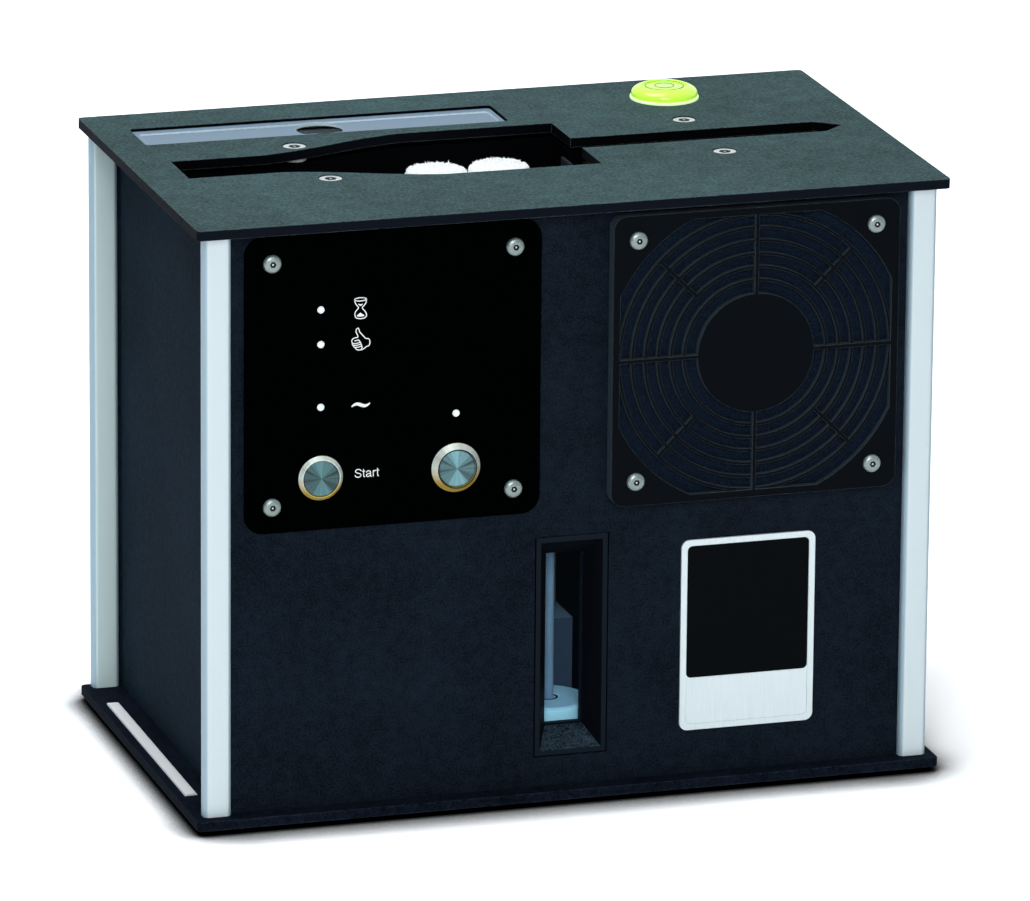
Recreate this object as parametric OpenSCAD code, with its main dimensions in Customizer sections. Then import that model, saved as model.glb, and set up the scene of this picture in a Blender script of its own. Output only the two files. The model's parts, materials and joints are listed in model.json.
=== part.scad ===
// Record cleaning machine, a tall box on a base plate.
// A record stands in the opening of the top plate and turns between wet cleaning barrels.
// Millimetres, +Z up, +X to the right seen from the front, +Y to the back.
// The origin is the middle of the footprint, on the surface that the feet stand on.

/* [Plates] */
// Width of the top and base plates
plate_w = 328.5; // [322:0.5:345]
// Depth of the top and base plates
plate_d = 197; // [194:0.5:206]
// Thickness of the top and base plates
plate_t = 4.2; // [3.6:0.1:5]
// Corner radius of the plates
plate_r = 2; // [1:0.1:4]
// Height from the underside of the base plate to the top of the top plate
body_h = 260.3; // [258:0.1:272]
// Height of a rubber foot
foot_h = 2.2; // [1:0.1:8]
// Diameter of a rubber foot
foot_dia = 16; // [10:1:22]
// Distance of the feet from the edges of the base plate
foot_inset = 26; // [18:1:45]
// Radius of the locating pip of a foot
pip_r = 3; // [2:0.1:4]
// Length of the locating pip of a foot
pip_l = 2.4; // [1.5:0.1:3]

/* [Posts and panels] */
// Width of a corner post
post_w = 12.1; // [10:0.1:13]
// Depth of a corner post
post_d = 7; // [6.8:0.1:10]
// Edge radius of a corner post
post_r = 2.5; // [1:0.1:3]
// Overhang of the plates past the posts at the sides
side_over = 3.95; // [2:0.05:6]
// Overhang of the plates past the front posts
front_over = 4.8; // [3.6:0.1:6.5]
// Overhang of the plates past the rear posts
rear_over = 0.6; // [0.2:0.1:4]
// Thickness of the panels
panel_t = 3; // [2:0.1:3.2]
// How far the panels lie behind the faces of the posts
panel_set = 3.6; // [1:0.1:3.8]
// Gap between a side panel and the posts
side_gap = 1; // [0.5:0.1:2]
// Width of a cooling slit in the rear panel
slit_w = 3; // [2:0.1:4]
// Length of a cooling slit in the rear panel
slit_l = 46; // [30:1:60]
// Distance between cooling slits
slit_pitch = 8; // [7:0.5:10]

/* [Record opening] */
// Sideways place of the record, the barrels and the opening
record_y = 0.7; // [-1:0.1:2]
// Distance of the left end of the opening from the middle
slot_left = 145; // [140:0.5:148]
// Half width of the left part of the opening
slot_half = 14.7; // [13:0.1:18]
// Distance from the middle to where the left part starts to widen
flare_start = 104.6; // [90:0.5:115]
// Distance from the middle to where the opening has its full width
flare_end = 38; // [34:0.5:48]
// Half width of the widest part of the opening
well_half = 35.5; // [34.5:0.1:36]
// Distance of the right end of the widest part from the middle
well_right = 30; // [28:0.5:36]
// Half width of the narrow right part
guide_half = 8.4; // [7.5:0.1:9.5]
// Distance of the right end of the narrow part from the middle
guide_end = 139.5; // [136:0.5:141]
// Length of the pointed end of the narrow part
guide_point = 10; // [6:0.5:11]

/* [Record and wash basin] */
// Radius of the record
record_r = 150.5; // [148:0.5:152]
// Height of the middle of the record above the top plate
record_up = 44; // [42:0.5:48]
// Sideways middle of the record
record_x = 0; // [-0.4:0.1:0.4]
// Gap between the record and the floor of the basin
record_gap = 4; // [3:0.1:5]
// Wall of the wash basin
basin_wall = 2.5; // [2:0.1:3]
// Half width of the flat middle of the basin floor
sump_half = 44; // [43.5:0.5:48]
// Distance of the inner ends of the basin from the middle
basin_end = 142.6; // [142.2:0.1:142.8]
// Width of the rim past the basin wall
rim_w = 1.5; // [1:0.1:2]
// Thickness of the rim
rim_t = 3; // [2:0.1:4]

/* [Cleaning barrels] */
// Distance between the two barrels of a row
barrel_pitch = 28; // [27.6:0.1:30]
// Distance of a row from the record
row_gap = 16; // [15.9:0.1:16.1]
// Sideways middle of the barrels
barrel_x = -13.5; // [-15:0.5:-13]
// Radius of a barrel
barrel_r = 13.5; // [12.5:0.1:13.7]
// Depth of the top of the barrels below the top plate
barrel_drop = 10.8; // [9:0.1:16]
// Gap between the barrels and the basin floor
barrel_foot = 6; // [5:0.5:10]
// Radius of the plastic core of a barrel
core_r = 7; // [6:0.1:9]
// Radius of a spindle
spindle_r = 3; // [2.5:0.1:3.5]
// Thickness of the closed top of a barrel
barrel_cap = 5.5; // [3:0.5:8]
// Outer radius of a spindle seal
seal_r = 6; // [5:0.1:6.5]
// Radius of the lip of a spindle seal
seal_lip_r = 7.5; // [7:0.1:8]
// Thickness of the lip of a spindle seal
seal_lip_t = 1.5; // [1:0.1:2]

/* [Gears] */
// Teeth of a barrel gear
barrel_teeth = 16; // [16:1:16]
// Teeth of the drive gear
drive_teeth = 24; // [24:1:24]
// Pressure angle of the teeth
press_angle = 25; // [22:1:27]
// Face width of a barrel gear
gear_t = 6; // [5:0.1:6.4]
// Gap between the two gear levels
gear_gap = 1; // [0.6:0.1:1.4]
// Gap between the deck and the lower gears
gear_lift = 4; // [2:0.5:5]
// Overlap of the gear shafts and the deck
shaft_seat = 3.5; // [2.5:0.1:4]
// Length of the drive shaft inside the motor
shaft_grip = 10; // [6:1:20]
// Play between meshed teeth, taken off each tooth
tooth_play = 0.14; // [0.1:0.02:0.3]
// Diameter of the drive motor
motor_dia = 27; // [24:0.5:28]
// Length of the drive motor
motor_l = 42; // [30:1:52]
// Thickness of the motor ledge
ledge_t = 3; // [2.5:0.1:4]

/* [Record rollers] */
// Angle of a roller from the lowest point of the record
roller_angle = 42; // [38:1:45]
// Radius of the groove of a roller
roller_r = 10.5; // [9:0.1:12]
// Height of the flanges of a roller above its groove
flange_h = 2.5; // [1.5:0.1:3]
// Width of a roller
roller_w = 10; // [8:0.1:11]
// Width of the groove floor
groove_w = 3; // [2:0.1:4]
// Radius of a roller shaft
roller_shaft_r = 2.5; // [2:0.1:3]
// Radius of the boss of the roller motor on the basin
motor_boss_r = 7; // [5:0.5:9]
// Gap between a roller and its pocket in the basin
pocket_gap = 2.5; // [2:0.1:3]
// Diameter of the roller motor
roller_motor_dia = 25; // [20:1:26]
// Length of the roller shaft inside its motor
roller_grip = 8; // [5:1:15]
// Length of the roller motor
roller_motor_l = 26; // [20:1:30]

/* [Filter] */
// Left end of the lid recess, from the middle
recess_left = 148; // [146:0.5:150]
// Length of the lid recess
recess_l = 161.5; // [150:0.5:163]
// Width of the lid recess
recess_w = 28.4; // [26:0.1:30]
// Place of the middle of the lid recess behind the middle of the plate
recess_y = 59; // [58:0.5:62]
// Depth of the lid recess
recess_depth = 3; // [2.4:0.1:3.4]
// Thickness of the lid
lid_t = 1.8; // [1.6:0.1:2.2]
// Depth of the hollow in the top of the lid
lid_dish = 0.8; // [0.5:0.1:1]
// Width of the raised rim of the lid along its long sides
lid_rim = 5; // [3:0.1:6]
// Diameter of the finger hole of the lid
finger_dia = 20; // [16:0.5:22]
// Width of the sponge slot in the top plate
sponge_slot_w = 18; // [15:0.5:20]
// Land on which the ends of the lid rest
lid_land = 6.5; // [5.5:0.5:9]
// Wall of the sponge tray
tray_wall = 2; // [1.5:0.1:2.2]
// Depth of the sponge tray below the top plate
tray_depth = 28; // [20:1:36]

/* [Spirit level] */
// Sideways place of the spirit level
level_x = 90.5; // [70:0.5:110]
// Place of the spirit level behind the middle
level_y = 66; // [60:0.5:72]
// Diameter of its base
level_dia = 30; // [26:0.5:34]
// Diameter of its top
level_top_dia = 23.4; // [20:0.1:25]
// Height of the spirit level
level_h = 5.8; // [4.5:0.1:8]
// Height of its base ring
level_base_h = 1.2; // [0.8:0.1:2]
// Radius of the vial in the spirit level
vial_r = 9.6; // [8:0.1:10]

/* [Top screws] */
// Distance of the top screws from the middle, sideways
top_screw_x = 87.2; // [80:0.1:92]
// Distance of the top screws from the middle, front to back
top_screw_y = 28; // [27:0.1:29]
// Head diameter of a top screw
top_head_dia = 9.8; // [9:0.1:10.4]
// Shank diameter of a top screw
top_shank_dia = 5; // [4:0.1:5.4]
// How far the heads of the top screws lie below the surface
screw_sink = 0.4; // [0.2:0.1:0.6]
// Gap around the head of a top screw
screw_rim = 0.4; // [0.2:0.1:0.6]
// Length of a top screw
top_screw_l = 16; // [13:0.5:20]
// Height of the spacers between the top plate and the basin
spacer_h = 2; // [1.5:0.1:3]
// Outer diameter of a spacer
spacer_dia = 10; // [9:0.1:11]

/* [Control plate] */
// Sideways place of the control plate
control_x = -78; // [-78.5:0.1:-77.5]
// Height of the middle of the control plate and of the fan guard above the base plate underside
control_z = 190; // [189:0.1:190.5]
// Width of the control plate
control_w = 128.4; // [126:0.1:129]
// Height of the control plate
control_h = 127.8; // [126:0.1:129]
// Corner radius of the control plate
control_r = 8; // [5:0.5:10]
// Thickness of the control plate
control_t = 1.5; // [1:0.1:2]
// Distance between the screws of the control plate and of the fan guard
screw_pitch = 105; // [104.5:0.1:105.5]
// Head diameter of a front screw
small_head_dia = 7.8; // [7:0.1:8.6]
// Head height of a front screw
small_head_h = 1.9; // [1.2:0.1:1.9]
// Radius of the hex socket of a front screw
small_hex_r = 1.4; // [1.1:0.1:1.6]
// How far a front screw stands out behind what it holds
screw_end = 2; // [1:0.5:2.5]
// Shank diameter of a front screw
small_shank_dia = 4; // [3:0.1:4.4]
// Diameter of an indicator light
led_dia = 3; // [2.5:0.1:4]
// Length of an indicator light behind the face of the control plate
led_l = 7; // [5:0.5:9]
// How far the dome of an indicator light stands proud
led_proud = 1; // [0.4:0.1:1.4]
// Sideways place of the start button from the middle of the plate
start_dx = -31.4; // [-33:0.1:-30]
// Sideways place of the power button from the middle of the plate
power_dx = 27.4; // [26:0.1:29]
// Height of the buttons from the middle of the plate
button_dz = -41.4; // [-43:0.1:-40]
// Height of the indicator lights from the middle of the plate
light_dz = [31.2, 16.3, -10.8]; // [-14:0.1:40]
// Height of the right indicator light from the middle of the plate
power_light_dz = -17.8; // [-19:0.1:-16]
// Flange diameter of the start button
start_flange_dia = 19.4; // [18.6:0.1:21]
// Cap diameter of the start button
start_cap_dia = 15.4; // [14:0.1:15.6]
// Flange diameter of the power button
power_flange_dia = 21.4; // [20:0.1:23]
// Cap diameter of the power button
power_cap_dia = 15.8; // [14:0.1:16]
// How far the power button flange stands proud
power_flange_t = 2.6; // [2:0.1:3]
// How far the start button flange stands proud
start_flange_t = 1.6; // [1:0.1:2.2]
// Travel of a button
button_travel = 1.5; // [1:0.1:2.5]
// Length of a button cap
cap_l = 8; // [6:0.5:10]
// Room behind a fully pressed button cap
cap_play = 0.5; // [0.3:0.1:1]
// Chamfer of a button cap
cap_edge = 0.4; // [0.2:0.1:0.8]
// How far the cap of the power button lies inside its flange
power_cap_set = 0.5; // [0:0.1:1]
// Flat rim of a bezel round its cap
bezel_rim = 0.4; // [0.2:0.1:1]
// Wall of a switch body
switch_wall = 1.2; // [1:0.1:1.6]
// Depth of a switch body behind the control plate
switch_l = 17; // [15:0.5:18]
// Thickness of the control board
board_t = 1.6; // [1.2:0.1:2]
// Distance of the control board behind the front panel
board_gap = 16; // [16:0.5:17]
// Side length of the control board
board_w = 116; // [114:0.5:117]
// Width, thickness and height of the relay
relay = [26, 9, 20]; // [6:1:30]
// Width, thickness and height of the coil block
coil_block = [16, 11, 26]; // [6:1:30]
// Width, thickness and height of the terminal block
terminal = [8, 5, 14]; // [4:1:20]
// Radius of a capacitor
can_r = 5; // [3:0.5:7]
// Length of a capacitor
can_l = 12; // [8:0.5:14]

/* [Fan and guard] */
// Sideways place of the fan guard
fan_x = 79.5; // [78.5:0.1:79.8]
// Side length of the fan guard
guard_w = 126.4; // [124:0.1:127.5]
// Depth of the fan guard
guard_t = 6; // [5:0.1:6.2]
// Corner radius of the fan guard
guard_r = 6; // [4:0.5:8]
// Radius of the guard's opening
guard_open_r = 66.3; // [64:0.1:67]
// Distance of the straight sides of the guard's opening from its middle
guard_flat = 60; // [58:0.1:60.8]
// Radius of the guard's middle disc
guard_hub_r = 25.8; // [20:0.1:27]
// Distance between the rings of the guard
ring_pitch = 5.7; // [5.6:0.05:5.8]
// Thickness of a ring of the guard
ring_t = 1.3; // [1:0.1:1.8]
// Number of rings of the guard
ring_count = 6; // [4:1:6]
// Thickness of a rib of the guard
rib_t = 1.6; // [1:0.1:2.4]
// How far the rings of the guard lie behind its ribs
ring_set = 0.7; // [0.3:0.1:1.2]
// Depth of the pocket for the guard filter
pocket_d = 2.8; // [2:0.1:3]
// Side length of the guard filter
filter_w = 122; // [121.4:0.1:123]
// Side length of the fan frame
fan_w = 120; // [118:0.5:120.5]
// Depth of the fan frame
fan_t = 25; // [20:0.5:26]
// Radius of the fan's air duct
duct_r = 57; // [54:0.5:57.5]
// Radius of the fan hub
fan_hub_r = 19; // [16:0.5:22]
// Gap between the blade tips and the duct
tip_gap = 1.2; // [0.8:0.1:2]
// Thickness of the struts and of the rear hub of the fan
strut_t = 4; // [3:0.5:5]
// Radius of the fan shaft
fan_shaft_r = 2.5; // [2:0.1:3.5]
// Gap between the rotor and the rear hub
rotor_gap = 1; // [0.6:0.1:1.5]
// Number of fan blades
blade_count = 7; // [5:1:9]
// Thickness of a fan blade
blade_t = 1.8; // [1.2:0.1:2.4]
// Pitch of a fan blade
blade_pitch = 38; // [30:1:45]

/* [Sight window] */
// Sideways place of the sight window
window_x = 1.3; // [-2:0.1:4]
// Height of the middle of the window above the base plate underside
window_z = 65.8; // [64.5:0.1:67]
// Outer width of the window frame
window_w = 31.6; // [30:0.1:33]
// Outer height of the window frame
window_h = 96.4; // [93:0.1:98]
// Flat face of the window frame
window_rim = 2.2; // [1.5:0.1:2.6]
// Depth from the face of the frame to the glass
window_depth = 10.4; // [8:0.1:12]
// How far the sloping sides of the frame come in
splay_x = 5.3; // [3:0.1:6]
// How far the sloping ends of the frame come in
splay_z = 7.8; // [4:0.1:8.4]
// Thickness of the window glass
glass_t = 2.5; // [2:0.1:3]
// Overlap of the glass behind the frame
glass_lap = 3; // [2:0.1:3.4]
// Flange of the window frame behind the panel
frame_lap = 3; // [2:0.1:4]
// Thickness of the flange of the window frame
frame_lap_t = 2; // [1.5:0.1:2.5]

/* [Tank and pump] */
// Wall of the water tank
tank_wall = 3; // [2:0.1:4]
// Gap between the water tank and the side panels
tank_gap = 6.2; // [5:0.1:18]
// Distance of the back of the tank from the middle
tank_back = 60; // [55:0.5:65]
// Height of the water tank
tank_h = 100; // [98:0.5:101]
// Thickness of the chassis deck
deck_t = 4; // [3:0.1:4.4]
// Width of the notch for the wires in the deck
wire_notch = 40; // [20:1:50]
// Depth of the notch for the wires
wire_notch_d = 14; // [8:1:18]
// Distance of the notch for the wires behind the tank
wire_gap = 10; // [6:1:12]
// Gap between the deck and the flange of the window frame
deck_gap = 2; // [1:0.1:4]
// Sideways place of the float
float_x = 2; // [0:0.1:3]
// Gap between the float and the front wall of the tank
float_gap = 1; // [1:0.1:4]
// Radius of the float
float_r = 17.2; // [14:0.1:17.3]
// Height of the float
float_h = 25; // [18:0.5:30]
// Radius of the float rod
rod_r = 2.2; // [1.5:0.1:2.6]
// Radius of the counterbore in the top of the float
float_sink_r = 5.2; // [4:0.1:6]
// Depth of that counterbore
float_sink = 2; // [1:0.5:4]
// Left side of the pump from the middle
pump_left = 46; // [40:0.5:60]
// Right side of the pump from the middle
pump_right = 24; // [23:0.5:26]
// Front of the pump from the middle
pump_front = 20; // [19:0.5:22]
// Depth of the pump from front to back
pump_d = 46; // [40:0.5:50]
// Height of the top of the pump above the tank floor
pump_h = 48; // [42:0.5:54]
// Height of the feet of the pump
pump_foot = 4; // [3:0.5:6]
// Width of the feet of the pump
pump_foot_w = 6; // [4:0.5:10]
// Radius of the impeller
impeller_r = 14; // [12:0.5:16]
// Height of the impeller
impeller_h = 8; // [6:0.5:10]
// Radius of the shaft of the impeller
impeller_shaft_r = 2; // [1.5:0.1:3]
// Length of the shaft above the impeller
impeller_shaft_l = 12; // [8:1:16]
// Thickness of the vanes and of the disc of the impeller
vane_t = 1.7; // [1.2:0.1:2.5]
// Outer radius of the hoses
hose_r = 5; // [4.2:0.1:5.2]
// Inner radius of the hoses
hose_bore_r = 3.4; // [2.5:0.1:3.6]
// How far the return pipe reaches into the tank
pipe_dip = 8; // [4:1:20]
// Sideways place of the supply hose
supply_x = 17.6; // [17.4:0.1:18]
// Sideways place of the return pipe
return_x = 23.5; // [23:0.1:24]
// Distance of the return pipe in front of the record
return_dy = 25; // [24:0.1:26]
// Length of the outlet stub of the pump
stub_l = 6; // [4:0.5:12]
// Height of the drain plug above the tank floor
plug_z = 11; // [10.5:0.1:14]
// Distance of the drain plug from the side of the tank
plug_in = 34; // [16:1:50]
// Radius of the drain bore
drain_r = 5; // [4:0.1:6]
// Length of the drain plug inside the drain
plug_l = 12; // [8:1:16]
// Head radius of the drain plug
plug_head_r = 9; // [8.5:0.1:10.4]
// Thickness of the head of the drain plug
plug_head_t = 2.6; // [2:0.1:3]

/* [Small parts] */
// Length of the side strip
strip_l = 130; // [100:1:150]
// Width of the side strip
strip_w = 5.4; // [4:0.1:6]
// Thickness of the side strip
strip_t = 0.8; // [0.5:0.1:1.2]
// Place of the middle of the side strip behind the middle
strip_y = 2.5; // [-5:0.5:8]
// Sideways place of the badge plate
badge_x = 79.4; // [70:0.1:85]
// Height of the middle of the badge plate above the base plate underside
badge_z = 66; // [60:0.1:70]
// Width of the badge plate
badge_w = 59.7; // [50:0.1:64]
// Height of the badge plate
badge_h = 84.5; // [70:0.1:90]
// Thickness of the badge plate
badge_t = 1.2; // [0.8:0.1:1.6]
// Corner radius of the badge plate
badge_r = 3.6; // [2:0.1:6]
// Width of the raised rim of the badge plate
badge_rim = 2.7; // [1.5:0.1:4]
// Depth of the field of the badge plate
badge_field = 0.4; // [0.2:0.05:0.5]
// Sideways place of the power inlet
inlet_x = -104; // [-115:1:-90]
// Height of the power inlet above the base plate underside
inlet_z = 30; // [24:1:40]
// Radius of the power inlet body
inlet_r = 5.6; // [5:0.1:6.5]
// Radius of the socket of the power inlet
inlet_bore_r = 2.8; // [2.5:0.1:3]
// Radius of the flange of the power inlet
inlet_flange_r = 8; // [7.5:0.1:9]
// Thickness of the flange of the power inlet
inlet_flange_t = 2; // [1.5:0.1:2.5]
// Length of the power inlet behind the rear panel's face
inlet_l = 12; // [9:1:14]
// Radius of the transducer face
horn_r = 18; // [15:0.5:20]
// Thickness of the transducer's face plate
horn_face_t = 6; // [4:0.5:8]
// Length of the transducer's body
horn_l = 12; // [8:0.5:16]
// Length of the transducer's back weight
horn_back_l = 6; // [4:0.5:8]
// Length of the transducer's terminal
horn_end_l = 4; // [2:0.5:6]
// Sideways place of the transducer
horn_x = 68; // [60:1:72]
// Height of the transducer above the basin floor
horn_up = 62; // [58:1:66]
// Free gap between the wiper lips and the middle of the record
lip_gap = 3.2; // [2.8:0.1:4]
// Height of the lower ends of the wiper lips above the basin floor
lip_up = 18; // [12:1:40]
// Thickness of a wiper lip
lip_t = 1.5; // [1:0.1:2]
// Width of a wiper lip
lip_w = 14; // [12:0.5:16]

/* [Fits] */
// Clearance of pieces that fit into a hole or pocket
fit = 0.15; // [0.1:0.05:0.2]
// Radial clearance of a shaft that turns in a bore
run = 0.06; // [0.04:0.01:0.1]
// Clearance of pieces that slide past each other
slide = 0.3; // [0.2:0.05:0.4]

/* [Hidden] */
$fn = 64;
// Extra length of a cut past the surface that it opens
cut = 1;

// Heights
base_top = foot_h + plate_t;
top_z = foot_h + body_h;
under_z = top_z - plate_t;
// Outer faces of the posts
post_x = plate_w / 2 - side_over;
post_in_x = post_x - post_w;
post_front_y = -plate_d / 2 + front_over;
post_rear_y = plate_d / 2 - rear_over;
// Outer and inner faces of the panels
front_y = post_front_y + panel_set;
front_in_y = front_y + panel_t;
rear_y = post_rear_y - panel_set;
rear_in_y = rear_y - panel_t;
side_x = post_in_x - side_gap;
side_in_x = side_x - panel_t;
tank_half = side_in_x - tank_gap;
// Middle heights of the front fittings
control_mid = foot_h + control_z;
window_mid = foot_h + window_z;
badge_mid = foot_h + badge_z;
// Record and basin
record_z = top_z + record_up;
basin_in_r = record_r + record_gap;
basin_floor = record_z - basin_in_r;
basin_under = basin_floor - basin_wall;
rim_z = under_z - spacer_h;
roller_c = record_r + roller_r;
roller_out_r = roller_r + flange_h;
guide_tip = guide_end + guide_point;
// Water tank and deck
tank_top = base_top + tank_h;
tank_floor = base_top + tank_wall;
deck_top = tank_top + deck_t;
tank_front = front_y + window_depth + glass_t;
glass_y = front_y + window_depth;
float_y = tank_front + tank_wall + float_gap + float_r;
plug_x = tank_half - plug_in;
// Gears, stacked between the deck and the basin
gear_mod = 2 * row_gap / barrel_teeth;
addendum = 0.8 * gear_mod;
dedendum = 1.1 * gear_mod;
drive_c = gear_mod * (barrel_teeth + drive_teeth) / 2;
drive_y = record_y - row_gap - sqrt(drive_c * drive_c - barrel_pitch * barrel_pitch / 4);
gear_z1 = deck_top + gear_lift;
gear_z2 = gear_z1 + gear_t + gear_gap;
left_x = barrel_x - barrel_pitch / 2;
right_x = barrel_x + barrel_pitch / 2;
front_row = record_y - row_gap;
rear_row = record_y + row_gap;
barrel_top = top_z - barrel_drop;
barrel_bottom = basin_floor + barrel_foot;
core_top = barrel_top - barrel_cap;
// Filter under the lid
recess_mid_x = -recess_left + recess_l / 2;
recess_z = top_z - recess_depth;
sponge_slot_l = recess_l - 2 * lid_land;

// Rounded rectangle, centred
module rrect(w, h, r) {
    square([w - 2 * r, h], center = true);
    square([w, h - 2 * r], center = true);
    for (sx = [-1, 1], sy = [-1, 1]) translate([sx * (w / 2 - r), sy * (h / 2 - r)]) circle(r);
}

// Lays an outline drawn in X and Z on a plane that faces the front, from y0 back to y1
module upright(y0, y1) {
    translate([0, y1, 0]) rotate([90, 0, 0]) linear_extrude(y1 - y0) children();
}

// Round bar from y0 back to y1
module bar_y(r, y0, y1) {
    translate([0, y0, 0]) rotate([-90, 0, 0]) cylinder(r = r, h = y1 - y0);
}

// The four corners of a square of side p in X and Z
module corners_xz(p) {
    for (sx = [-1, 1], sz = [-1, 1]) translate([sx * p / 2, 0, sz * p / 2]) children();
}

// Soft S-curve from 0 to 1
function ease(u) = 0.5 * u + 0.25 * (1 - cos(180 * u));

// One side of the widening part of the opening, grown outwards by g
function flare_side(g) = [for (i = [0 : 12]) let (u = i / 12)
    [-flare_start + (flare_start - flare_end) * u, slot_half + g + (well_half - slot_half) * ease(u)]];

// The same side seen in a mirror, from the other end
function flipped(p) = [for (i = [len(p) - 1 : -1 : 0]) [p[i].x, -p[i].y]];

// Outline of the record opening about the record, grown outwards by g
function opening(g) = let (side = flare_side(g)) concat(
    [[-slot_left - g, slot_half + g]], side,
    [[well_right + g, well_half + g], [well_right + g, guide_half + g], [guide_end, guide_half + g],
     [guide_tip + g, 0],
     [guide_end, -guide_half - g], [well_right + g, -guide_half - g], [well_right + g, -well_half - g]],
    flipped(side), [[-slot_left - g, -slot_half - g]]);

// Half width of the opening at a place in its left part
function flare_half(x) = let (u = max(0, min(1, (x + flare_start) / (flare_start - flare_end))))
    slot_half + (well_half - slot_half) * ease(u);

module opening_2d(g) { translate([0, record_y]) polygon(opening(g)); }

// Places of the record rollers
function roller_at(side) = [record_x + side * roller_c * sin(roller_angle),
    record_z - roller_c * cos(roller_angle)];

// Height of the boss of the roller motor, and the plane that the motor sits on
motor_boss_l = flare_half(roller_motor_dia / 2 - roller_c * sin(roller_angle)) - slot_half + slide;
motor_seat_y = record_y + slot_half + basin_wall + motor_boss_l;

// Side view of the basin, grown outwards by g
module basin_side(g) {
    intersection() {
        union() {
            translate([record_x, record_z]) circle(basin_in_r + g, $fn = 160);
            translate([-sump_half - g, basin_floor - g]) square([2 * (sump_half + g), rim_z - basin_floor]);
            for (side = [-1, 1]) translate(roller_at(side)) circle(roller_out_r + pocket_gap + g);
        }
        translate([-plate_w / 2, basin_floor - g]) square([plate_w, top_z - basin_floor]);
    }
}

// Plan of the basin, grown outwards by g, with its ends at the given distance from the middle
module basin_plan(g, end) {
    intersection() {
        opening_2d(g);
        square([2 * end, plate_d], center = true);
    }
}

// Places of the top screws
module at_top_screws() {
    for (sx = [-1, 1], sy = [-1, 1]) translate([sx * top_screw_x, sy * top_screw_y, 0]) children();
}

// Involute tooth, as half angles at rising radii
function inv_deg(a) = (tan(a) * 180 / PI) - a;
function flank(z, rho) = let (r = gear_mod * z / 2, rb = r * cos(press_angle))
    (PI * gear_mod / 2 - tooth_play) / (2 * r) * 180 / PI + inv_deg(press_angle)
    - (rho > rb ? inv_deg(acos(rb / rho)) : 0);
function tooth_radii(z) = let (r = gear_mod * z / 2, hi = r + addendum,
    lo = max(r * cos(press_angle), r - dedendum))
    concat([r - dedendum - 0.01], [for (i = [0 : 4]) lo + (hi - lo) * i / 4]);
function gear_points(z) = let (rs = tooth_radii(z), n = len(rs)) [for (k = [0 : z - 1]) each concat(
    [for (i = [0 : n - 1]) let (a = 360 * k / z - flank(z, rs[i])) rs[i] * [cos(a), sin(a)]],
    [for (i = [n - 1 : -1 : 0]) let (a = 360 * k / z + flank(z, rs[i])) rs[i] * [cos(a), sin(a)]])];

// Turn of a gear that meshes with another, given the direction from the first to it
function mesh_turn(dir, z1, turn1, z2) = dir + 180 + ((dir - turn1) * z1 / 360 + 0.5) * 360 / z2;

// Turns of the gears at rest, worked out from the drive gear
to_left = atan2(front_row - drive_y, -barrel_pitch / 2);
to_right = atan2(front_row - drive_y, barrel_pitch / 2);
turn_front_left = mesh_turn(to_left, drive_teeth, 0, barrel_teeth);
turn_front_right = mesh_turn(to_right, drive_teeth, 0, barrel_teeth);
turn_rear_left = mesh_turn(90, barrel_teeth, turn_front_left, barrel_teeth);
turn_rear_right = mesh_turn(90, barrel_teeth, turn_front_right, barrel_teeth);

// Flat plate with rounded corners, from z up
module plate(z) {
    translate([0, 0, z]) linear_extrude(plate_t) rrect(plate_w, plate_d, plate_r);
}

module base_plate() {
    color("#3c4350") difference() {
        plate(foot_h);
        at_feet() translate([0, 0, foot_h - cut]) cylinder(r = pip_r + fit, h = pip_l + cut + fit);
    }
}

module at_feet() {
    for (sx = [-1, 1], sy = [-1, 1])
        translate([sx * (plate_w / 2 - foot_inset), sy * (plate_d / 2 - foot_inset), 0]) children();
}

module rubber_feet() {
    color("#17181a") at_feet() {
        cylinder(r1 = foot_dia / 2 - foot_h / 4, r2 = foot_dia / 2, h = foot_h);
        cylinder(r = pip_r, h = foot_h + pip_l);
    }
}

module top_plate() {
    color("#8b9896") difference() {
        plate(under_z);
        translate([0, 0, under_z - cut]) linear_extrude(plate_t + 2 * cut) opening_2d(0);
        translate([recess_mid_x, recess_y, recess_z]) linear_extrude(recess_depth + cut)
            rrect(recess_l, recess_w, 2);
        translate([recess_mid_x, recess_y, under_z - cut]) linear_extrude(plate_t + 2 * cut)
            rrect(sponge_slot_l, sponge_slot_w, 2);
        at_top_screws() {
            translate([0, 0, under_z - cut]) cylinder(r = top_shank_dia / 2 + fit, h = plate_t + 2 * cut);
            translate([0, 0, top_z - sink_h - screw_sink])
                cylinder(r1 = top_shank_dia / 2 + fit, r2 = top_head_dia / 2 + fit, h = sink_h);
            translate([0, 0, top_z - screw_sink]) cylinder(r = top_head_dia / 2 + screw_rim, h = cut);
        }
    }
}

// Height of the cone under a top screw's head
sink_h = (top_head_dia - top_shank_dia) / 2;

module top_screws() {
    color("#cfd4d6") at_top_screws() difference() {
        union() {
            translate([0, 0, top_z - screw_sink - top_screw_l])
                cylinder(r = top_shank_dia / 2, h = top_screw_l - sink_h);
            translate([0, 0, top_z - screw_sink - sink_h])
                cylinder(r1 = top_shank_dia / 2, r2 = top_head_dia / 2, h = sink_h);
        }
        translate([0, 0, top_z - screw_sink - sink_h * 0.75])
            cylinder(r = top_shank_dia * 0.3, h = 4, $fn = 6);
    }
}

module basin_spacers() {
    color("#e8e8e4") at_top_screws() translate([0, 0, rim_z]) difference() {
        cylinder(r = spacer_dia / 2, h = spacer_h);
        translate([0, 0, -cut]) cylinder(r = top_shank_dia / 2 + fit, h = spacer_h + 2 * cut);
    }
}

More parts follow.
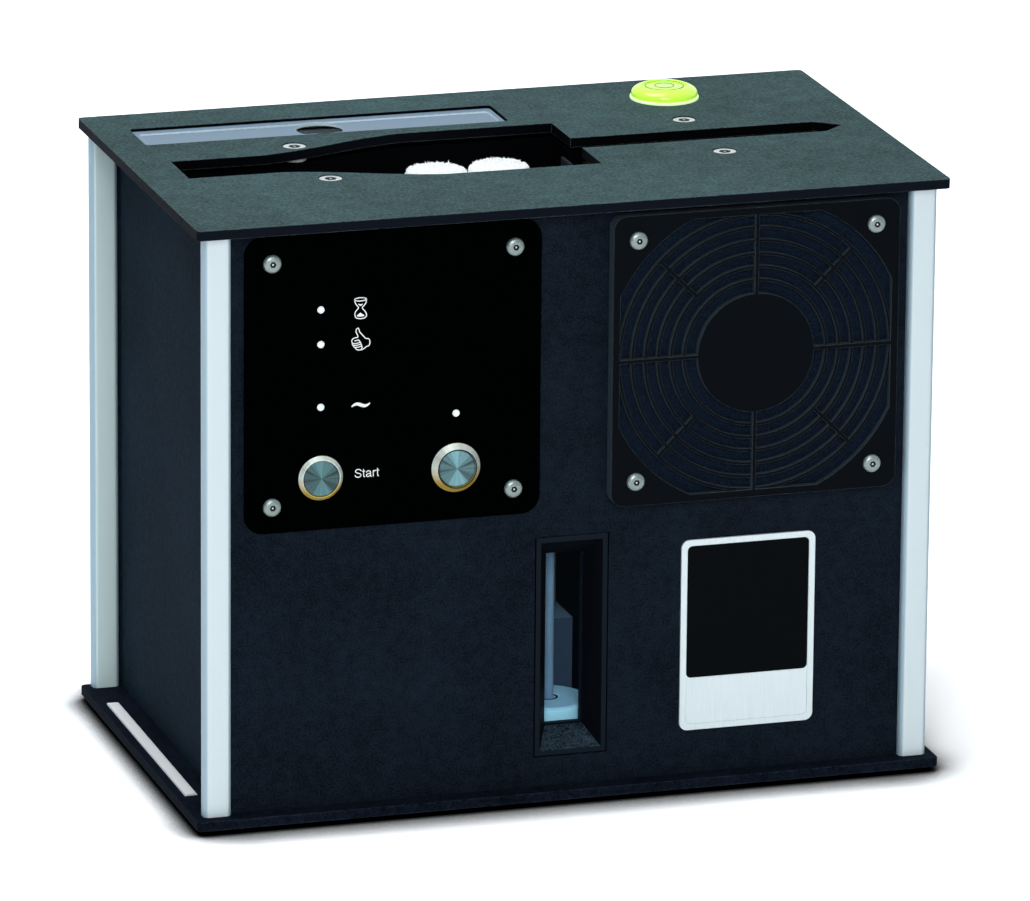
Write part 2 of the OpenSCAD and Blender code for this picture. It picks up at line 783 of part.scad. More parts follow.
// Corner post, by the side it stands on
module post(sx, sy) {
    y = sy < 0 ? post_front_y + post_d / 2 : post_rear_y - post_d / 2;
    color("#d9dee2") translate([sx * (post_x - post_w / 2), y, base_top])
        linear_extrude(under_z - base_top) rrect(post_w, post_d, post_r);
}

module post_front_left() { post(-1, -1); }
module post_front_right() { post(1, -1); }
module post_rear_left() { post(-1, 1); }
module post_rear_right() { post(1, 1); }

// Sheet between the posts, in X and Z
module panel_sheet(y0, y1) {
    translate([-post_in_x + fit, y0, base_top]) cube([2 * (post_in_x - fit), y1 - y0, under_z - base_top]);
}

module front_panel() {
    color("#2c3446") difference() {
        panel_sheet(front_y, front_in_y);
        translate([control_x, 0, control_mid]) {
            corners_xz(screw_pitch) bar_y(small_shank_dia / 2 + fit, front_y - cut, front_in_y + cut);
            at_lights() bar_y(led_dia / 2 + fit, front_y - cut, front_in_y + cut);
            translate([start_dx, 0, button_dz]) bar_y(start_body_r + fit, front_y - cut, front_in_y + cut);
            translate([power_dx, 0, button_dz]) bar_y(power_body_r + fit, front_y - cut, front_in_y + cut);
        }
        translate([fan_x, 0, control_mid]) {
            corners_xz(screw_pitch) bar_y(small_shank_dia / 2 + fit, front_y - cut, front_in_y + cut);
            bar_y(duct_r, front_y - cut, front_in_y + cut);
        }
        upright(front_y - cut, front_in_y + cut) translate([window_x, window_mid])
            square([window_w + 1, window_h + 1], center = true);
    }
}

module rear_panel() {
    color("#2c3446") difference() {
        panel_sheet(rear_in_y, rear_y);
        for (sx = [-1, 1], i = [-4 : 4]) upright(rear_in_y - cut, rear_y + cut)
            translate([sx * fan_x, control_mid + i * slit_pitch]) rrect(slit_l, slit_w, slit_w / 2 - 0.01);
        translate([inlet_x, 0, foot_h + inlet_z]) bar_y(inlet_r + fit, rear_in_y - cut, rear_y + cut);
        translate([plug_x, 0, tank_floor + plug_z])
            bar_y(drain_r + tank_wall + fit, rear_in_y - cut, rear_y + cut);
    }
}

// Side panel on the left (-1) or the right (1)
module side_panel(sx) {
    color("#2c3446") translate([sx > 0 ? side_in_x : -side_x, front_in_y, base_top])
        cube([panel_t, rear_in_y - front_in_y, under_z - base_top]);
}

module left_panel() { side_panel(-1); }
module right_panel() { side_panel(1); }

module side_strip() {
    x = -plate_w / 2 + side_over;
    color("#dfe6e8") translate([x, strip_y + strip_l / 2, base_top]) rotate([90, 0, 0])
        linear_extrude(strip_l)
        polygon([[0, 0], [strip_w, 0], [strip_w, strip_t / 2], [strip_w - strip_t, strip_t], [0, strip_t]]);
}

module badge_plate() {
    color("#c8ccce") difference() {
        upright(front_y - badge_t, front_y) translate([badge_x, badge_mid])
            rrect(badge_w, badge_h, badge_r);
        upright(front_y - badge_t - cut, front_y - badge_t + badge_field) translate([badge_x, badge_mid])
            rrect(badge_w - 2 * badge_rim, badge_h - 2 * badge_rim, badge_r - badge_rim / 2);
    }
}

// Front face of the control plate
control_y = front_y - control_t;

module at_lights() {
    for (dz = light_dz) translate([start_dx, 0, dz]) children();
    translate([power_dx, 0, power_light_dz]) children();
}

module control_plate() {
    color("#0d0f11") difference() {
        upright(control_y, front_y) translate([control_x, control_mid])
            rrect(control_w, control_h, control_r);
        translate([control_x, 0, control_mid]) {
            corners_xz(screw_pitch) bar_y(small_shank_dia / 2 + fit, control_y - cut, front_y + cut);
            at_lights() bar_y(led_dia / 2 + fit, control_y - cut, front_y + cut);
            translate([start_dx, 0, button_dz]) bar_y(start_body_r + fit, control_y - cut, front_y + cut);
            translate([power_dx, 0, button_dz]) bar_y(power_body_r + fit, control_y - cut, front_y + cut);
        }
    }
}

// Button head screw along Y with a hex socket, its head on the plane y and its shank going back
module front_screw(y, shank_l) {
    r = small_head_dia / 2;
    flat_r = 0.45 * r;
    side_h = 0.25 * small_head_h;
    difference() {
        union() {
            translate([0, y, 0]) rotate([90, 0, 0]) rotate_extrude() polygon(concat([[0, 0], [r, 0]],
                [for (a = [0 : 15 : 90]) [flat_r + (r - flat_r) * cos(a),
                    side_h + (small_head_h - side_h) * sin(a)]],
                [[0, small_head_h]]));
            bar_y(small_shank_dia / 2, y, y + shank_l);
        }
        translate([0, y - small_head_h - cut, 0]) rotate([-90, 0, 0])
            cylinder(r = small_hex_r, h = cut + small_head_h * 0.8, $fn = 6);
    }
}

// Front face of the control board
board_y = front_in_y + board_gap;

// Screws of the control plate and of the fan guard
module front_screws() {
    color("#d5d9db") {
        translate([control_x, 0, control_mid]) corners_xz(screw_pitch)
            front_screw(control_y, board_y + board_t + screw_end - control_y);
        translate([fan_x, 0, control_mid]) corners_xz(screw_pitch)
            front_screw(guard_y, fan_back + screw_end - guard_y);
    }
}

module indicator_lights() {
    color("#f4f7f8") translate([control_x, 0, control_mid]) at_lights() {
        bar_y(led_dia / 2, control_y, control_y + led_l);
        translate([0, control_y + led_dia / 2 - led_proud, 0]) sphere(led_dia / 2);
    }
}

// Radii of the switch bodies, and the face of the power button
start_body_r = start_cap_dia / 2 + switch_wall;
power_body_r = power_cap_dia / 2 + switch_wall;
power_cap_y = control_y - power_flange_t + power_cap_set;

// Fixed sleeve of a push button: flange on the control plate, closed body behind it
module bezel(flange_dia, flange_t, cap_dia, body_r) {
    difference() {
        union() {
            translate([0, control_y, 0]) rotate([90, 0, 0])
                cylinder(r1 = flange_dia / 2, r2 = cap_dia / 2 + fit + bezel_rim, h = flange_t);
            bar_y(body_r, control_y, control_y + switch_l);
        }
        bar_y(cap_dia / 2 + fit, control_y - flange_t - cut,
            control_y - flange_t + cap_l + button_travel + cap_play);
    }
}

// Moving cap of a push button, its face at the plane y
module cap(cap_dia, y) {
    translate([0, y, 0]) rotate([-90, 0, 0]) {
        cylinder(r1 = cap_dia / 2 - cap_edge, r2 = cap_dia / 2, h = cap_edge);
        translate([0, 0, cap_edge]) cylinder(r = cap_dia / 2, h = cap_l - cap_edge);
    }
}

module at_start() { translate([control_x + start_dx, 0, control_mid + button_dz]) children(); }
module at_power() { translate([control_x + power_dx, 0, control_mid + button_dz]) children(); }

module start_bezel() {
    color("#d8d3c4") at_start() bezel(start_flange_dia, start_flange_t, start_cap_dia, start_body_r);
}

module start_button() { color("#a9bcc0") at_start() cap(start_cap_dia, control_y - start_flange_t); }

module power_bezel() {
    color("#d8d3c4") at_power() bezel(power_flange_dia, power_flange_t, power_cap_dia, power_body_r);
}

module power_button() { color("#a9bcc0") at_power() cap(power_cap_dia, power_cap_y); }

module control_board() {
    color("#1e5a3c") difference() {
        translate([control_x, 0, control_mid]) {
            upright(board_y, board_y + board_t) rrect(board_w, board_w, 2);
            corners_xz(screw_pitch) bar_y(small_shank_dia, front_in_y, board_y);
            translate([-board_w / 8, board_y - relay.y, board_w / 6]) cube(relay);
            translate([board_w / 4, board_y - coil_block.y, board_w / 6]) cube(coil_block);
            for (x = [-1.4, 1.4]) translate([x * can_r - board_w / 9, 0, -board_w / 28])
                bar_y(can_r, board_y - can_l, board_y);
            translate([-board_w / 3, board_y - terminal.y, 0]) cube(terminal);
        }
        translate([control_x, 0, control_mid]) corners_xz(screw_pitch)
            bar_y(small_shank_dia / 2 + fit, front_in_y - cut, board_y + board_t + cut);
    }
}

// Front face of the guard and of the pocket for its filter
guard_y = front_y - guard_t;
pocket_y = front_y - pocket_d;

module guard_opening_2d() {
    intersection() {
        circle(guard_open_r, $fn = 96);
        square(2 * guard_flat, center = true);
    }
}

module fan_guard() {
    color("#1c1e20") translate([fan_x, 0, control_mid]) {
        difference() {
            upright(guard_y, front_y) rrect(guard_w, guard_w, guard_r);
            upright(guard_y - cut, front_y + cut) guard_opening_2d();
            upright(pocket_y, front_y + cut) rrect(filter_w, filter_w, 2);
            corners_xz(screw_pitch) bar_y(small_shank_dia / 2 + fit, guard_y - cut, front_y + cut);
        }
        difference() {
            union() {
                upright(guard_y, pocket_y) {
                    circle(guard_hub_r);
                    for (a = [0, 90]) rotate(a) square([2 * guard_flat + 2 * rib_t, rib_t], center = true);
                }
                upright(guard_y + ring_set, pocket_y) {
                    for (i = [1 : ring_count]) let (r = guard_hub_r + i * ring_pitch) difference() {
                        circle(r + ring_t / 2, $fn = 96);
                        circle(r - ring_t / 2, $fn = 96);
                    }
                    for (a = [45 : 90 : 315]) rotate(a)
                        translate([guard_hub_r + 2 * ring_pitch, -rib_t / 2])
                        square([(ring_count - 2) * ring_pitch, rib_t]);
                }
            }
            upright(guard_y + rib_t, pocket_y + cut) circle(guard_hub_r - rib_t);
        }
    }
}

module guard_filter() {
    color("#232c3d") difference() {
        upright(pocket_y + 0.2, front_y) translate([fan_x, control_mid])
            rrect(filter_w - 2 * fit, filter_w - 2 * fit, 2);
        translate([fan_x, 0, control_mid]) corners_xz(screw_pitch)
            bar_y(small_shank_dia / 2 + 0.6, pocket_y - cut, front_y + cut);
    }
}

// Back face of the fan
fan_back = front_in_y + fan_t;

module fan_frame() {
    color("#26282b") translate([fan_x, 0, control_mid]) difference() {
        union() {
            difference() {
                upright(front_in_y, fan_back) rrect(fan_w, fan_w, 5);
                bar_y(duct_r, front_in_y - cut, fan_back + cut);
            }
            difference() {
                union() {
                    bar_y(fan_hub_r, fan_back - strut_t, fan_back);
                    for (a = [45 : 90 : 315]) rotate([0, a, 0])
                        translate([fan_hub_r - 2, fan_back - strut_t, -strut_t / 2])
                        cube([duct_r - fan_hub_r + 3, strut_t, strut_t]);
                }
                bar_y(fan_shaft_r + run, fan_back - strut_t - cut, fan_back + cut);
            }
        }
        corners_xz(screw_pitch) bar_y(small_shank_dia / 2 + fit, front_in_y - cut, fan_back + cut);
    }
}

module fan_rotor() {
    y0 = front_in_y + 1.5 * rotor_gap;
    y1 = fan_back - strut_t - rotor_gap;
    blade_l = 2 * fan_t;
    color("#303338") translate([fan_x, 0, control_mid]) {
        difference() {
            bar_y(fan_hub_r, y0, y1);
            bar_y(fan_hub_r - 2, y0 + 2, y1 + 1);
        }
        bar_y(fan_shaft_r, y0 + 1, fan_back - 1);
        intersection() {
            difference() {
                bar_y(duct_r - tip_gap, y0 + 1, y1 - 1);
                bar_y(fan_hub_r - 1, y0, y1);
            }
            for (i = [0 : blade_count - 1]) rotate([0, i * 360 / blade_count, 0])
                translate([0, (y0 + y1) / 2, 0]) rotate([blade_pitch, 0, 0])
                    translate([0, -blade_t / 2, -blade_l / 2]) cube([duct_r, blade_t, blade_l]);
        }
    }
}

// Sloping hollow of the window frame: a wedge in X and a wedge in Z, crossed
module window_hollow() {
    hw = window_w / 2 - window_rim;
    hh = window_h / 2 - window_rim;
    d = window_depth;
    intersection() {
        translate([0, 0, -window_h]) linear_extrude(2 * window_h)
            polygon([[-hw, -cut], [-hw, 0], [-hw + splay_x, d], [-hw + splay_x, d + cut],
                     [hw - splay_x, d + cut], [hw - splay_x, d], [hw, 0], [hw, -cut]]);
        rotate([90, 0, 90]) translate([0, 0, -window_w]) linear_extrude(2 * window_w)
            polygon([[-cut, -hh], [0, -hh], [d, -hh + splay_z], [d + cut, -hh + splay_z],
                     [d + cut, hh - splay_z], [d, hh - splay_z], [0, hh], [-cut, hh]]);
    }
}

module window_frame() {
    color("#39424f") difference() {
        translate([window_x, 0, window_mid]) {
            upright(front_y, glass_y) square([window_w, window_h], center = true);
            upright(front_in_y, front_in_y + frame_lap_t)
                square([window_w + 1 + 2 * frame_lap, window_h + 1 + 2 * frame_lap], center = true);
        }
        translate([window_x, front_y, window_mid]) window_hollow();
    }
}

// Clear width and height at the glass
sight_w = window_w - 2 * window_rim - 2 * splay_x;
sight_h = window_h - 2 * window_rim - 2 * splay_z;

module window_glass() {
    color("#b9cfd8", 0.4) upright(glass_y, glass_y + glass_t) translate([window_x, window_mid])
        square([sight_w + 2 * glass_lap, sight_h + 2 * glass_lap], center = true);
}

module water_tank() {
    color("#7d8790") difference() {
        union() {
            translate([-tank_half, tank_front, base_top])
                cube([2 * tank_half, tank_back - tank_front, tank_h]);
            translate([plug_x, 0, tank_floor + plug_z]) bar_y(drain_r + tank_wall, tank_back - cut, rear_y);
        }
        translate([-tank_half + tank_wall, tank_front + tank_wall, tank_floor])
            cube([2 * (tank_half - tank_wall), tank_back - tank_front - 2 * tank_wall, tank_h]);
        translate([plug_x, 0, tank_floor + plug_z])
            bar_y(drain_r, tank_back - tank_wall - cut, rear_y + cut);
        translate([window_x - sight_w / 2, tank_front - cut, window_mid - sight_h / 2])
            cube([sight_w, tank_wall + 2 * cut, tank_h]);
    }
}

module drain_plug() {
    color("#1b1c1e") translate([plug_x, 0, tank_floor + plug_z]) {
        bar_y(drain_r - fit, rear_y - plug_l, rear_y);
        difference() {
            bar_y(plug_head_r, rear_y, rear_y + plug_head_t);
            for (a = [0 : 30 : 330]) rotate([0, a, 0]) translate([plug_head_r + 0.6, 0, 0])
                bar_y(1.4, rear_y - 1, rear_y + 5);
        }
    }
}

module float_rod() {
    color("#9fb3bf") translate([float_x, float_y, tank_floor])
        cylinder(r = rod_r, h = tank_top - tank_floor);
}

module tank_float() {
    z0 = tank_floor + slide;
    edge = 1.2;
    color("#e9eef0") translate([float_x, float_y, z0])
        rotate_extrude() polygon([[rod_r + slide, 0], [float_r - edge, 0], [float_r, edge],
            [float_r, float_h - edge], [float_r - edge, float_h], [float_sink_r, float_h],
            [float_sink_r, float_h - float_sink], [rod_r + slide, float_h - float_sink]]);
}

module chassis_deck() {
    notch_w = window_w + 2 * frame_lap + 2 * deck_gap;
    color("#5c6169") difference() {
        translate([-side_in_x, front_in_y, tank_top]) cube([2 * side_in_x, rear_in_y - front_in_y, deck_t]);
        translate([window_x - notch_w / 2, front_in_y - cut, tank_top - cut])
            cube([notch_w, tank_front - front_in_y + tank_wall + cut, deck_t + 2 * cut]);
        at_barrels() translate([0, 0, tank_top - cut]) cylinder(r = spindle_r + run, h = deck_t + 2 * cut);
        at_ports() translate([0, 0, tank_top - cut]) cylinder(r = hose_r + fit, h = deck_t + 2 * cut);
        translate([barrel_x, drive_y, tank_top - cut]) cylinder(r = spindle_r + run, h = deck_t + 2 * cut);
        translate([-side_in_x - cut, tank_back + wire_gap, tank_top - cut])
            cube([wire_notch, wire_notch_d, deck_t + 2 * cut]);
    }
}

// Middle of the impeller
impeller_x = -pump_left + pump_d / 2;
impeller_y = -pump_front + pump_d / 2;
impeller_z = tank_floor + pump_foot + 1;

module pump_body() {
    z0 = tank_floor + pump_foot;
    chamber_top = impeller_z + impeller_h + 2;
    duct = hose_bore_r - fit - 1;
    color("#6b7784") difference() {
        union() {
            translate([-pump_left, -pump_front, z0])
                cube([pump_left + pump_right, pump_d, pump_h - pump_foot]);
            for (x = [-pump_left, pump_right - pump_foot_w], y = [0, pump_d - pump_foot_w])
                translate([x, y - pump_front, tank_floor]) cube([pump_foot_w, pump_foot_w, pump_foot]);
            translate([supply_x, record_y, tank_floor + pump_h])
                cylinder(r = hose_bore_r - fit, h = stub_l);
        }
        translate([impeller_x, impeller_y, z0 - cut])
            cylinder(r = impeller_r + 2, h = chamber_top - z0 + cut);
        translate([impeller_x, impeller_y, z0])
            cylinder(r = impeller_shaft_r + run, h = impeller_h + impeller_shaft_l + 4);
        translate([supply_x, record_y, chamber_top - 4]) cylinder(r = duct, h = pump_h + stub_l);
        translate([impeller_x, record_y - duct, chamber_top - 6])
            cube([supply_x - impeller_x, 2 * duct, 6]);
    }
}

module pump_impeller() {
    color("#d8dcdf") translate([impeller_x, impeller_y, impeller_z]) {
        cylinder(r = impeller_shaft_r, h = impeller_h + impeller_shaft_l);
        cylinder(r = impeller_r * 0.45, h = impeller_h);
        translate([0, 0, impeller_h - vane_t]) cylinder(r = impeller_r, h = vane_t);
        for (a = [0 : 60 : 300]) rotate(a) translate([0, -vane_t / 2, 0])
            cube([impeller_r - 0.5, vane_t, impeller_h - 1]);
    }
}

// Tube along +Z
module tube(l) {
    difference() {
        cylinder(r = hose_r, h = l);
        translate([0, 0, -cut]) cylinder(r = hose_bore_r, h = l + 2 * cut);
    }
}

// Supply hose from the pump up to the basin, and return pipe down into the tank
module water_hoses() {
    pump_top = tank_floor + pump_h;
    color("#c9d3d6") {
        translate([supply_x, record_y, pump_top]) tube(basin_under - pump_top);
        translate([return_x, record_y - return_dy, tank_top - pipe_dip])
            tube(basin_under - tank_top + pipe_dip);
    }
}

// Places of the supply hose and of the return pipe
module at_ports() {
    translate([supply_x, record_y, 0]) children();
    translate([return_x, record_y - return_dy, 0]) children();
}

// Places of the barrels, left or right and front or rear
module at_barrels() {
    for (x = [left_x, right_x], y = [front_row, rear_row]) translate([x, y, 0]) children();
}

module wash_basin() {
    side_end = side_in_x - fit;
    boss_at = roller_at(-1);
    color("#454c57") difference() {
        union() {
            intersection() {
                translate([0, 0, basin_under]) linear_extrude(rim_z - basin_under)
                    basin_plan(basin_wall, side_end);
                upright(-plate_d / 2, plate_d / 2) basin_side(basin_wall);
            }
            translate([0, 0, rim_z - rim_t]) linear_extrude(rim_t) {
                basin_plan(basin_wall + rim_w, side_end);
                for (sx = [-1, 1]) translate([sx * top_screw_x, 0]) {
                    square([spacer_dia, 2 * top_screw_y], center = true);
                    for (sy = [-1, 1]) translate([0, sy * top_screw_y]) circle(spacer_dia / 2);
                }
            }
            translate([boss_at.x, 0, boss_at.y]) bar_y(motor_boss_r, record_y + slot_half, motor_seat_y);
            translate([barrel_x - motor_dia / 2, drive_y - motor_dia / 2, basin_under])
                cube([motor_dia, record_y - well_half - drive_y + motor_dia / 2, ledge_t]);
        }
        intersection() {
            translate([0, 0, basin_floor]) linear_extrude(rim_z) basin_plan(0, basin_end);
            upright(-plate_d / 2, plate_d / 2) basin_side(0);
        }
        at_barrels() translate([0, 0, basin_under - cut])
            cylinder(r = seal_r + fit, h = basin_wall + 2 * cut);
        translate([barrel_x, drive_y, basin_under - cut])
            cylinder(r = spindle_r + run, h = ledge_t + 2 * cut);
        at_ports() translate([0, 0, basin_under - cut]) cylinder(r = hose_bore_r, h = basin_wall + 2 * cut);
        for (side = [-1, 1]) let (p = roller_at(side)) translate([p.x, 0, p.y])
            bar_y(roller_shaft_r + run, record_y - slot_half - basin_wall - cut, motor_seat_y + cut);
        at_top_screws() translate([0, 0, rim_z - rim_t - cut])
            cylinder(r = top_shank_dia / 2 + fit, h = rim_t + 2 * cut);
    }
}

module spindle_seals() {
    color("#2a2b2d") at_barrels() translate([0, 0, basin_under]) difference() {
        union() {
            cylinder(r = seal_r, h = basin_wall + 1.5);
            translate([0, 0, -seal_lip_t]) cylinder(r = seal_lip_r, h = seal_lip_t);
        }
        translate([0, 0, -seal_lip_t - cut]) cylinder(r = spindle_r + run, h = basin_wall + 6);
    }
}

// Microfibre barrel on its core
module barrel(x, y) {
    color("#f3f4f2") translate([x, y, barrel_bottom]) difference() {
        cylinder(r = barrel_r, h = barrel_top - barrel_bottom);
        translate([0, 0, -cut]) cylinder(r = core_r + fit, h = core_top - barrel_bottom + 1 + fit);
    }
}

// Spindle: toothed wheel, shaft and core in one piece
module spindle(x, y, gear_z, turn) {
    color("#b8bcbd") translate([x, y, 0]) {
        translate([0, 0, deck_top - shaft_seat])
            cylinder(r = spindle_r, h = core_top - deck_top + shaft_seat);
        translate([0, 0, barrel_bottom - 1]) cylinder(r = core_r, h = core_top - barrel_bottom + 1);
        translate([0, 0, gear_z]) rotate(turn) linear_extrude(gear_t) polygon(gear_points(barrel_teeth));
    }
}

module barrel_front_left() { barrel(left_x, front_row); }
module barrel_front_right() { barrel(right_x, front_row); }
module barrel_rear_left() { barrel(left_x, rear_row); }
module barrel_rear_right() { barrel(right_x, rear_row); }
module spindle_front_left() { spindle(left_x, front_row, gear_z1, turn_front_left); }
module spindle_front_right() { spindle(right_x, front_row, gear_z2, turn_front_right); }
module spindle_rear_left() { spindle(left_x, rear_row, gear_z1, turn_rear_left); }
module spindle_rear_right() { spindle(right_x, rear_row, gear_z2, turn_rear_right); }

// Top of the motor ledge
ledge_top = basin_under + ledge_t;

module drive_gear() {
    color("#c9b370") translate([barrel_x, drive_y, 0]) {
        translate([0, 0, gear_z1]) linear_extrude(2 * gear_t + gear_gap) polygon(gear_points(drive_teeth));
        translate([0, 0, deck_top - shaft_seat])
            cylinder(r = spindle_r, h = ledge_top + shaft_grip - deck_top + shaft_seat);
    }
}

module drive_motor() {
    color("#9aa0a6") translate([barrel_x, drive_y, ledge_top]) difference() {
        union() {
            cylinder(r = motor_dia / 2, h = motor_l);
            translate([0, 0, motor_l]) cylinder(r = motor_dia / 4, h = 3);
        }
        translate([0, 0, -cut]) cylinder(r = spindle_r + run, h = shaft_grip + 2 * cut);
    }
}

// Grooved roller on its shaft, from the front wall of the basin to y1
module roller(side, wall_half, y1) {
    p = roller_at(side);
    color("#d9dadb") translate([p.x, record_y, p.y]) {
        rotate([-90, 0, 0]) rotate_extrude() polygon([[0, -roller_w / 2], [roller_out_r, -roller_w / 2],
            [roller_r, -groove_w / 2], [roller_r, groove_w / 2], [roller_out_r, roller_w / 2],
            [0, roller_w / 2]]);
        bar_y(roller_shaft_r, -wall_half - basin_wall, y1 - record_y);
    }
}

module drive_roller() { roller(-1, slot_half, motor_seat_y + roller_grip); }
module idle_roller() { roller(1, guide_half, record_y + guide_half + basin_wall); }

module roller_motor() {
    p = roller_at(-1);
    y0 = motor_seat_y;
    color("#9aa0a6") translate([p.x, 0, p.y]) difference() {
        union() {
            bar_y(roller_motor_dia / 2, y0, y0 + roller_motor_l);
            bar_y(roller_motor_dia / 5, y0 + roller_motor_l, y0 + roller_motor_l + 3);
        }
        bar_y(roller_shaft_r + run, y0 - cut, y0 + roller_grip + cut);
    }
}

module wiper_lips() {
    z0 = basin_floor + lip_up;
    color("#c4cacb") for (sy = [-1, 1])
        translate([well_right - lip_t, record_y + (sy > 0 ? lip_gap : -lip_gap - lip_w), z0])
            cube([lip_t, lip_w, rim_z - rim_t - 1 - z0]);
}

module transducer() {
    y1 = record_y - guide_half - basin_wall - horn_face_t;
    y2 = y1 - horn_l;
    y3 = y2 - horn_back_l;
    color("#b9bcc0") translate([horn_x, 0, basin_floor + horn_up]) {
        bar_y(horn_r, y1, y1 + horn_face_t);
        bar_y(horn_r * 0.7, y2, y1);
        bar_y(horn_r * 0.78, y3, y2);
        bar_y(horn_r * 0.25, y3 - horn_end_l, y3);
    }
}

module filter_tray() {
    l = sponge_slot_l;
    w = sponge_slot_w;
    color("#3a414b") difference() {
        translate([recess_mid_x, recess_y, under_z - tray_depth]) linear_extrude(tray_depth)
            rrect(l + 2 * tray_wall, w + 2 * tray_wall, 3);
        translate([recess_mid_x, recess_y, under_z - tray_depth + tray_wall]) linear_extrude(tray_depth)
            rrect(l, w, 2);
    }
}

module filter_sponge() {
    top = recess_z - slide;
    color("#2b3340") translate([recess_mid_x, recess_y, under_z - tray_depth + tray_wall])
        linear_extrude(top - under_z + tray_depth - tray_wall)
            rrect(sponge_slot_l - 2 * slide, sponge_slot_w - 2 * slide, 2);
}

module filter_lid() {
    color("#c3d5dc", 0.5) translate([recess_mid_x, recess_y, recess_z]) difference() {
        linear_extrude(lid_t) rrect(recess_l - 4 * fit, recess_w - 4 * fit, 2);
        translate([0, 0, lid_t - lid_dish]) linear_extrude(lid_dish + cut)
            rrect(recess_l - 4 * fit - lid_rim, recess_w - 4 * fit - 2 * lid_rim, 2);
        translate([0, 0, -cut]) cylinder(r = finger_dia / 2, h = lid_t + 2 * cut);
    }
}

module spirit_level() {
    r = level_dia / 2;
    taper = (level_dia - level_top_dia) / 2;
    color("#dbe66a") translate([level_x, level_y, top_z]) difference() {
        rotate_extrude() polygon(concat([[0, 0], [r, 0]],
            [for (u = [0 : 0.2 : 1]) [r - taper * pow(u, 1.6), level_base_h + (level_h - level_base_h) * u]],
            [[0, level_h]]));
        translate([0, 0, level_base_h]) cylinder(r = vial_r, h = level_h);
    }
}

module level_vial() {
    color("#e9f08a") translate([level_x, level_y, top_z + level_base_h])
        cylinder(r = vial_r - fit, h = level_h - level_base_h - slide);
}

module power_inlet() {
    color("#1b1c1e") translate([inlet_x, 0, foot_h + inlet_z]) difference() {
        union() {
            bar_y(inlet_flange_r, rear_y, rear_y + inlet_flange_t);
            bar_y(inlet_r, rear_y - inlet_l, rear_y);
        }
        bar_y(inlet_bore_r, rear_y - inlet_l + panel_t, rear_y + inlet_flange_t + cut);
    }
}

base_plate();
top_plate();
front_panel();
rear_panel();
left_panel();
right_panel();
post_front_left();
post_front_right();
post_rear_left();
post_rear_right();
rubber_feet();
side_strip();
badge_plate();
control_plate();
front_screws();
indicator_lights();
start_bezel();
start_button();
power_bezel();
power_button();
control_board();
fan_guard();
guard_filter();
fan_frame();
fan_rotor();
window_frame();
window_glass();
float_rod();
tank_float();
water_tank();
drain_plug();
chassis_deck();
pump_body();
pump_impeller();
water_hoses();
wash_basin();
basin_spacers();
top_screws();
spindle_seals();
wiper_lips();
transducer();
barrel_front_left();
barrel_front_right();
barrel_rear_left();
barrel_rear_right();
spindle_front_left();
spindle_front_right();
spindle_rear_left();
spindle_rear_right();
drive_gear();
drive_motor();
drive_roller();
idle_roller();
roller_motor();
filter_tray();
filter_sponge();
filter_lid();
spirit_level();
level_vial();
power_inlet();
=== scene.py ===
"""Looks of the record cleaning machine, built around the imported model.

Every length in a class field is in millimetres and becomes metres where a mesh is made.
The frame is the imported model's own: +X to the right, +Y to the back, +Z up, feet on zero.
"""
from __future__ import annotations

import json
import logging
import math
from dataclasses import dataclass, replace
from enum import Enum
from typing import Callable, Iterable, Sequence

import bmesh
import bpy
import numpy as np
from mathutils import Matrix, Vector

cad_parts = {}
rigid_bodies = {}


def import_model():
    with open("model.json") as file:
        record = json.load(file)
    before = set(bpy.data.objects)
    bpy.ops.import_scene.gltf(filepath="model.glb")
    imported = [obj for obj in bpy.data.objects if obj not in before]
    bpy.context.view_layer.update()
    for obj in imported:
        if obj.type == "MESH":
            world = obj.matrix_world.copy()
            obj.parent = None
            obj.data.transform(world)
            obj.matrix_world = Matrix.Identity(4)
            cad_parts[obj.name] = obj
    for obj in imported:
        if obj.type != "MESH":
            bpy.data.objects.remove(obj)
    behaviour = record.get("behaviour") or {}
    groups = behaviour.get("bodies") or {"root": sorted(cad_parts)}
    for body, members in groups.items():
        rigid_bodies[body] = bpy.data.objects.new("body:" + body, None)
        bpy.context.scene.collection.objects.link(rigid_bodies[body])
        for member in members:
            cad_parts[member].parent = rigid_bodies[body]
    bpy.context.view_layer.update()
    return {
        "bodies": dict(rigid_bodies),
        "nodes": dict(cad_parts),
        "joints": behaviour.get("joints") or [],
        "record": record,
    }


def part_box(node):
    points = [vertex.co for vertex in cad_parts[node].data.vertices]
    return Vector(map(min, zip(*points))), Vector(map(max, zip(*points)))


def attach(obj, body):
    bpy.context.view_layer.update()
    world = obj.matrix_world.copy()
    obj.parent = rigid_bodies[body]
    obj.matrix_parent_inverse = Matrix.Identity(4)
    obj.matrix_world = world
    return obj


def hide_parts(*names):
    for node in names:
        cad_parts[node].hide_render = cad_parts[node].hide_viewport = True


LOG = logging.getLogger("record_cleaner")
MM = 0.001
ROUND = 2 * math.pi

# These are in Blender's own units, radians and metres.
SHARP_ANGLE = math.radians(30.0)
FLAT_ANGLE = math.radians(0.5)
WELD_GAP = 2e-6
DOUBLE_GAP = 1e-6

BRUSH_STRETCH = 0.02
SHADE_SAMPLES = 8

Colour = tuple[float, float, float]
Point = tuple[float, float, float]
Pair = tuple[float, float]
Path = Sequence[Pair]
Faces = list[Sequence[int]]
Mesh = tuple[np.ndarray, Faces]
Values = dict[str | int, object]


class Axis(Enum):
    """The frame's axes."""

    X = 0
    Y = 1
    Z = 2


class Pattern(Enum):
    """What a finish shows from close up."""

    GRAIN = "grain"
    BRUSHED = "brushed"
    TURNED = "turned"
    PORES = "pores"


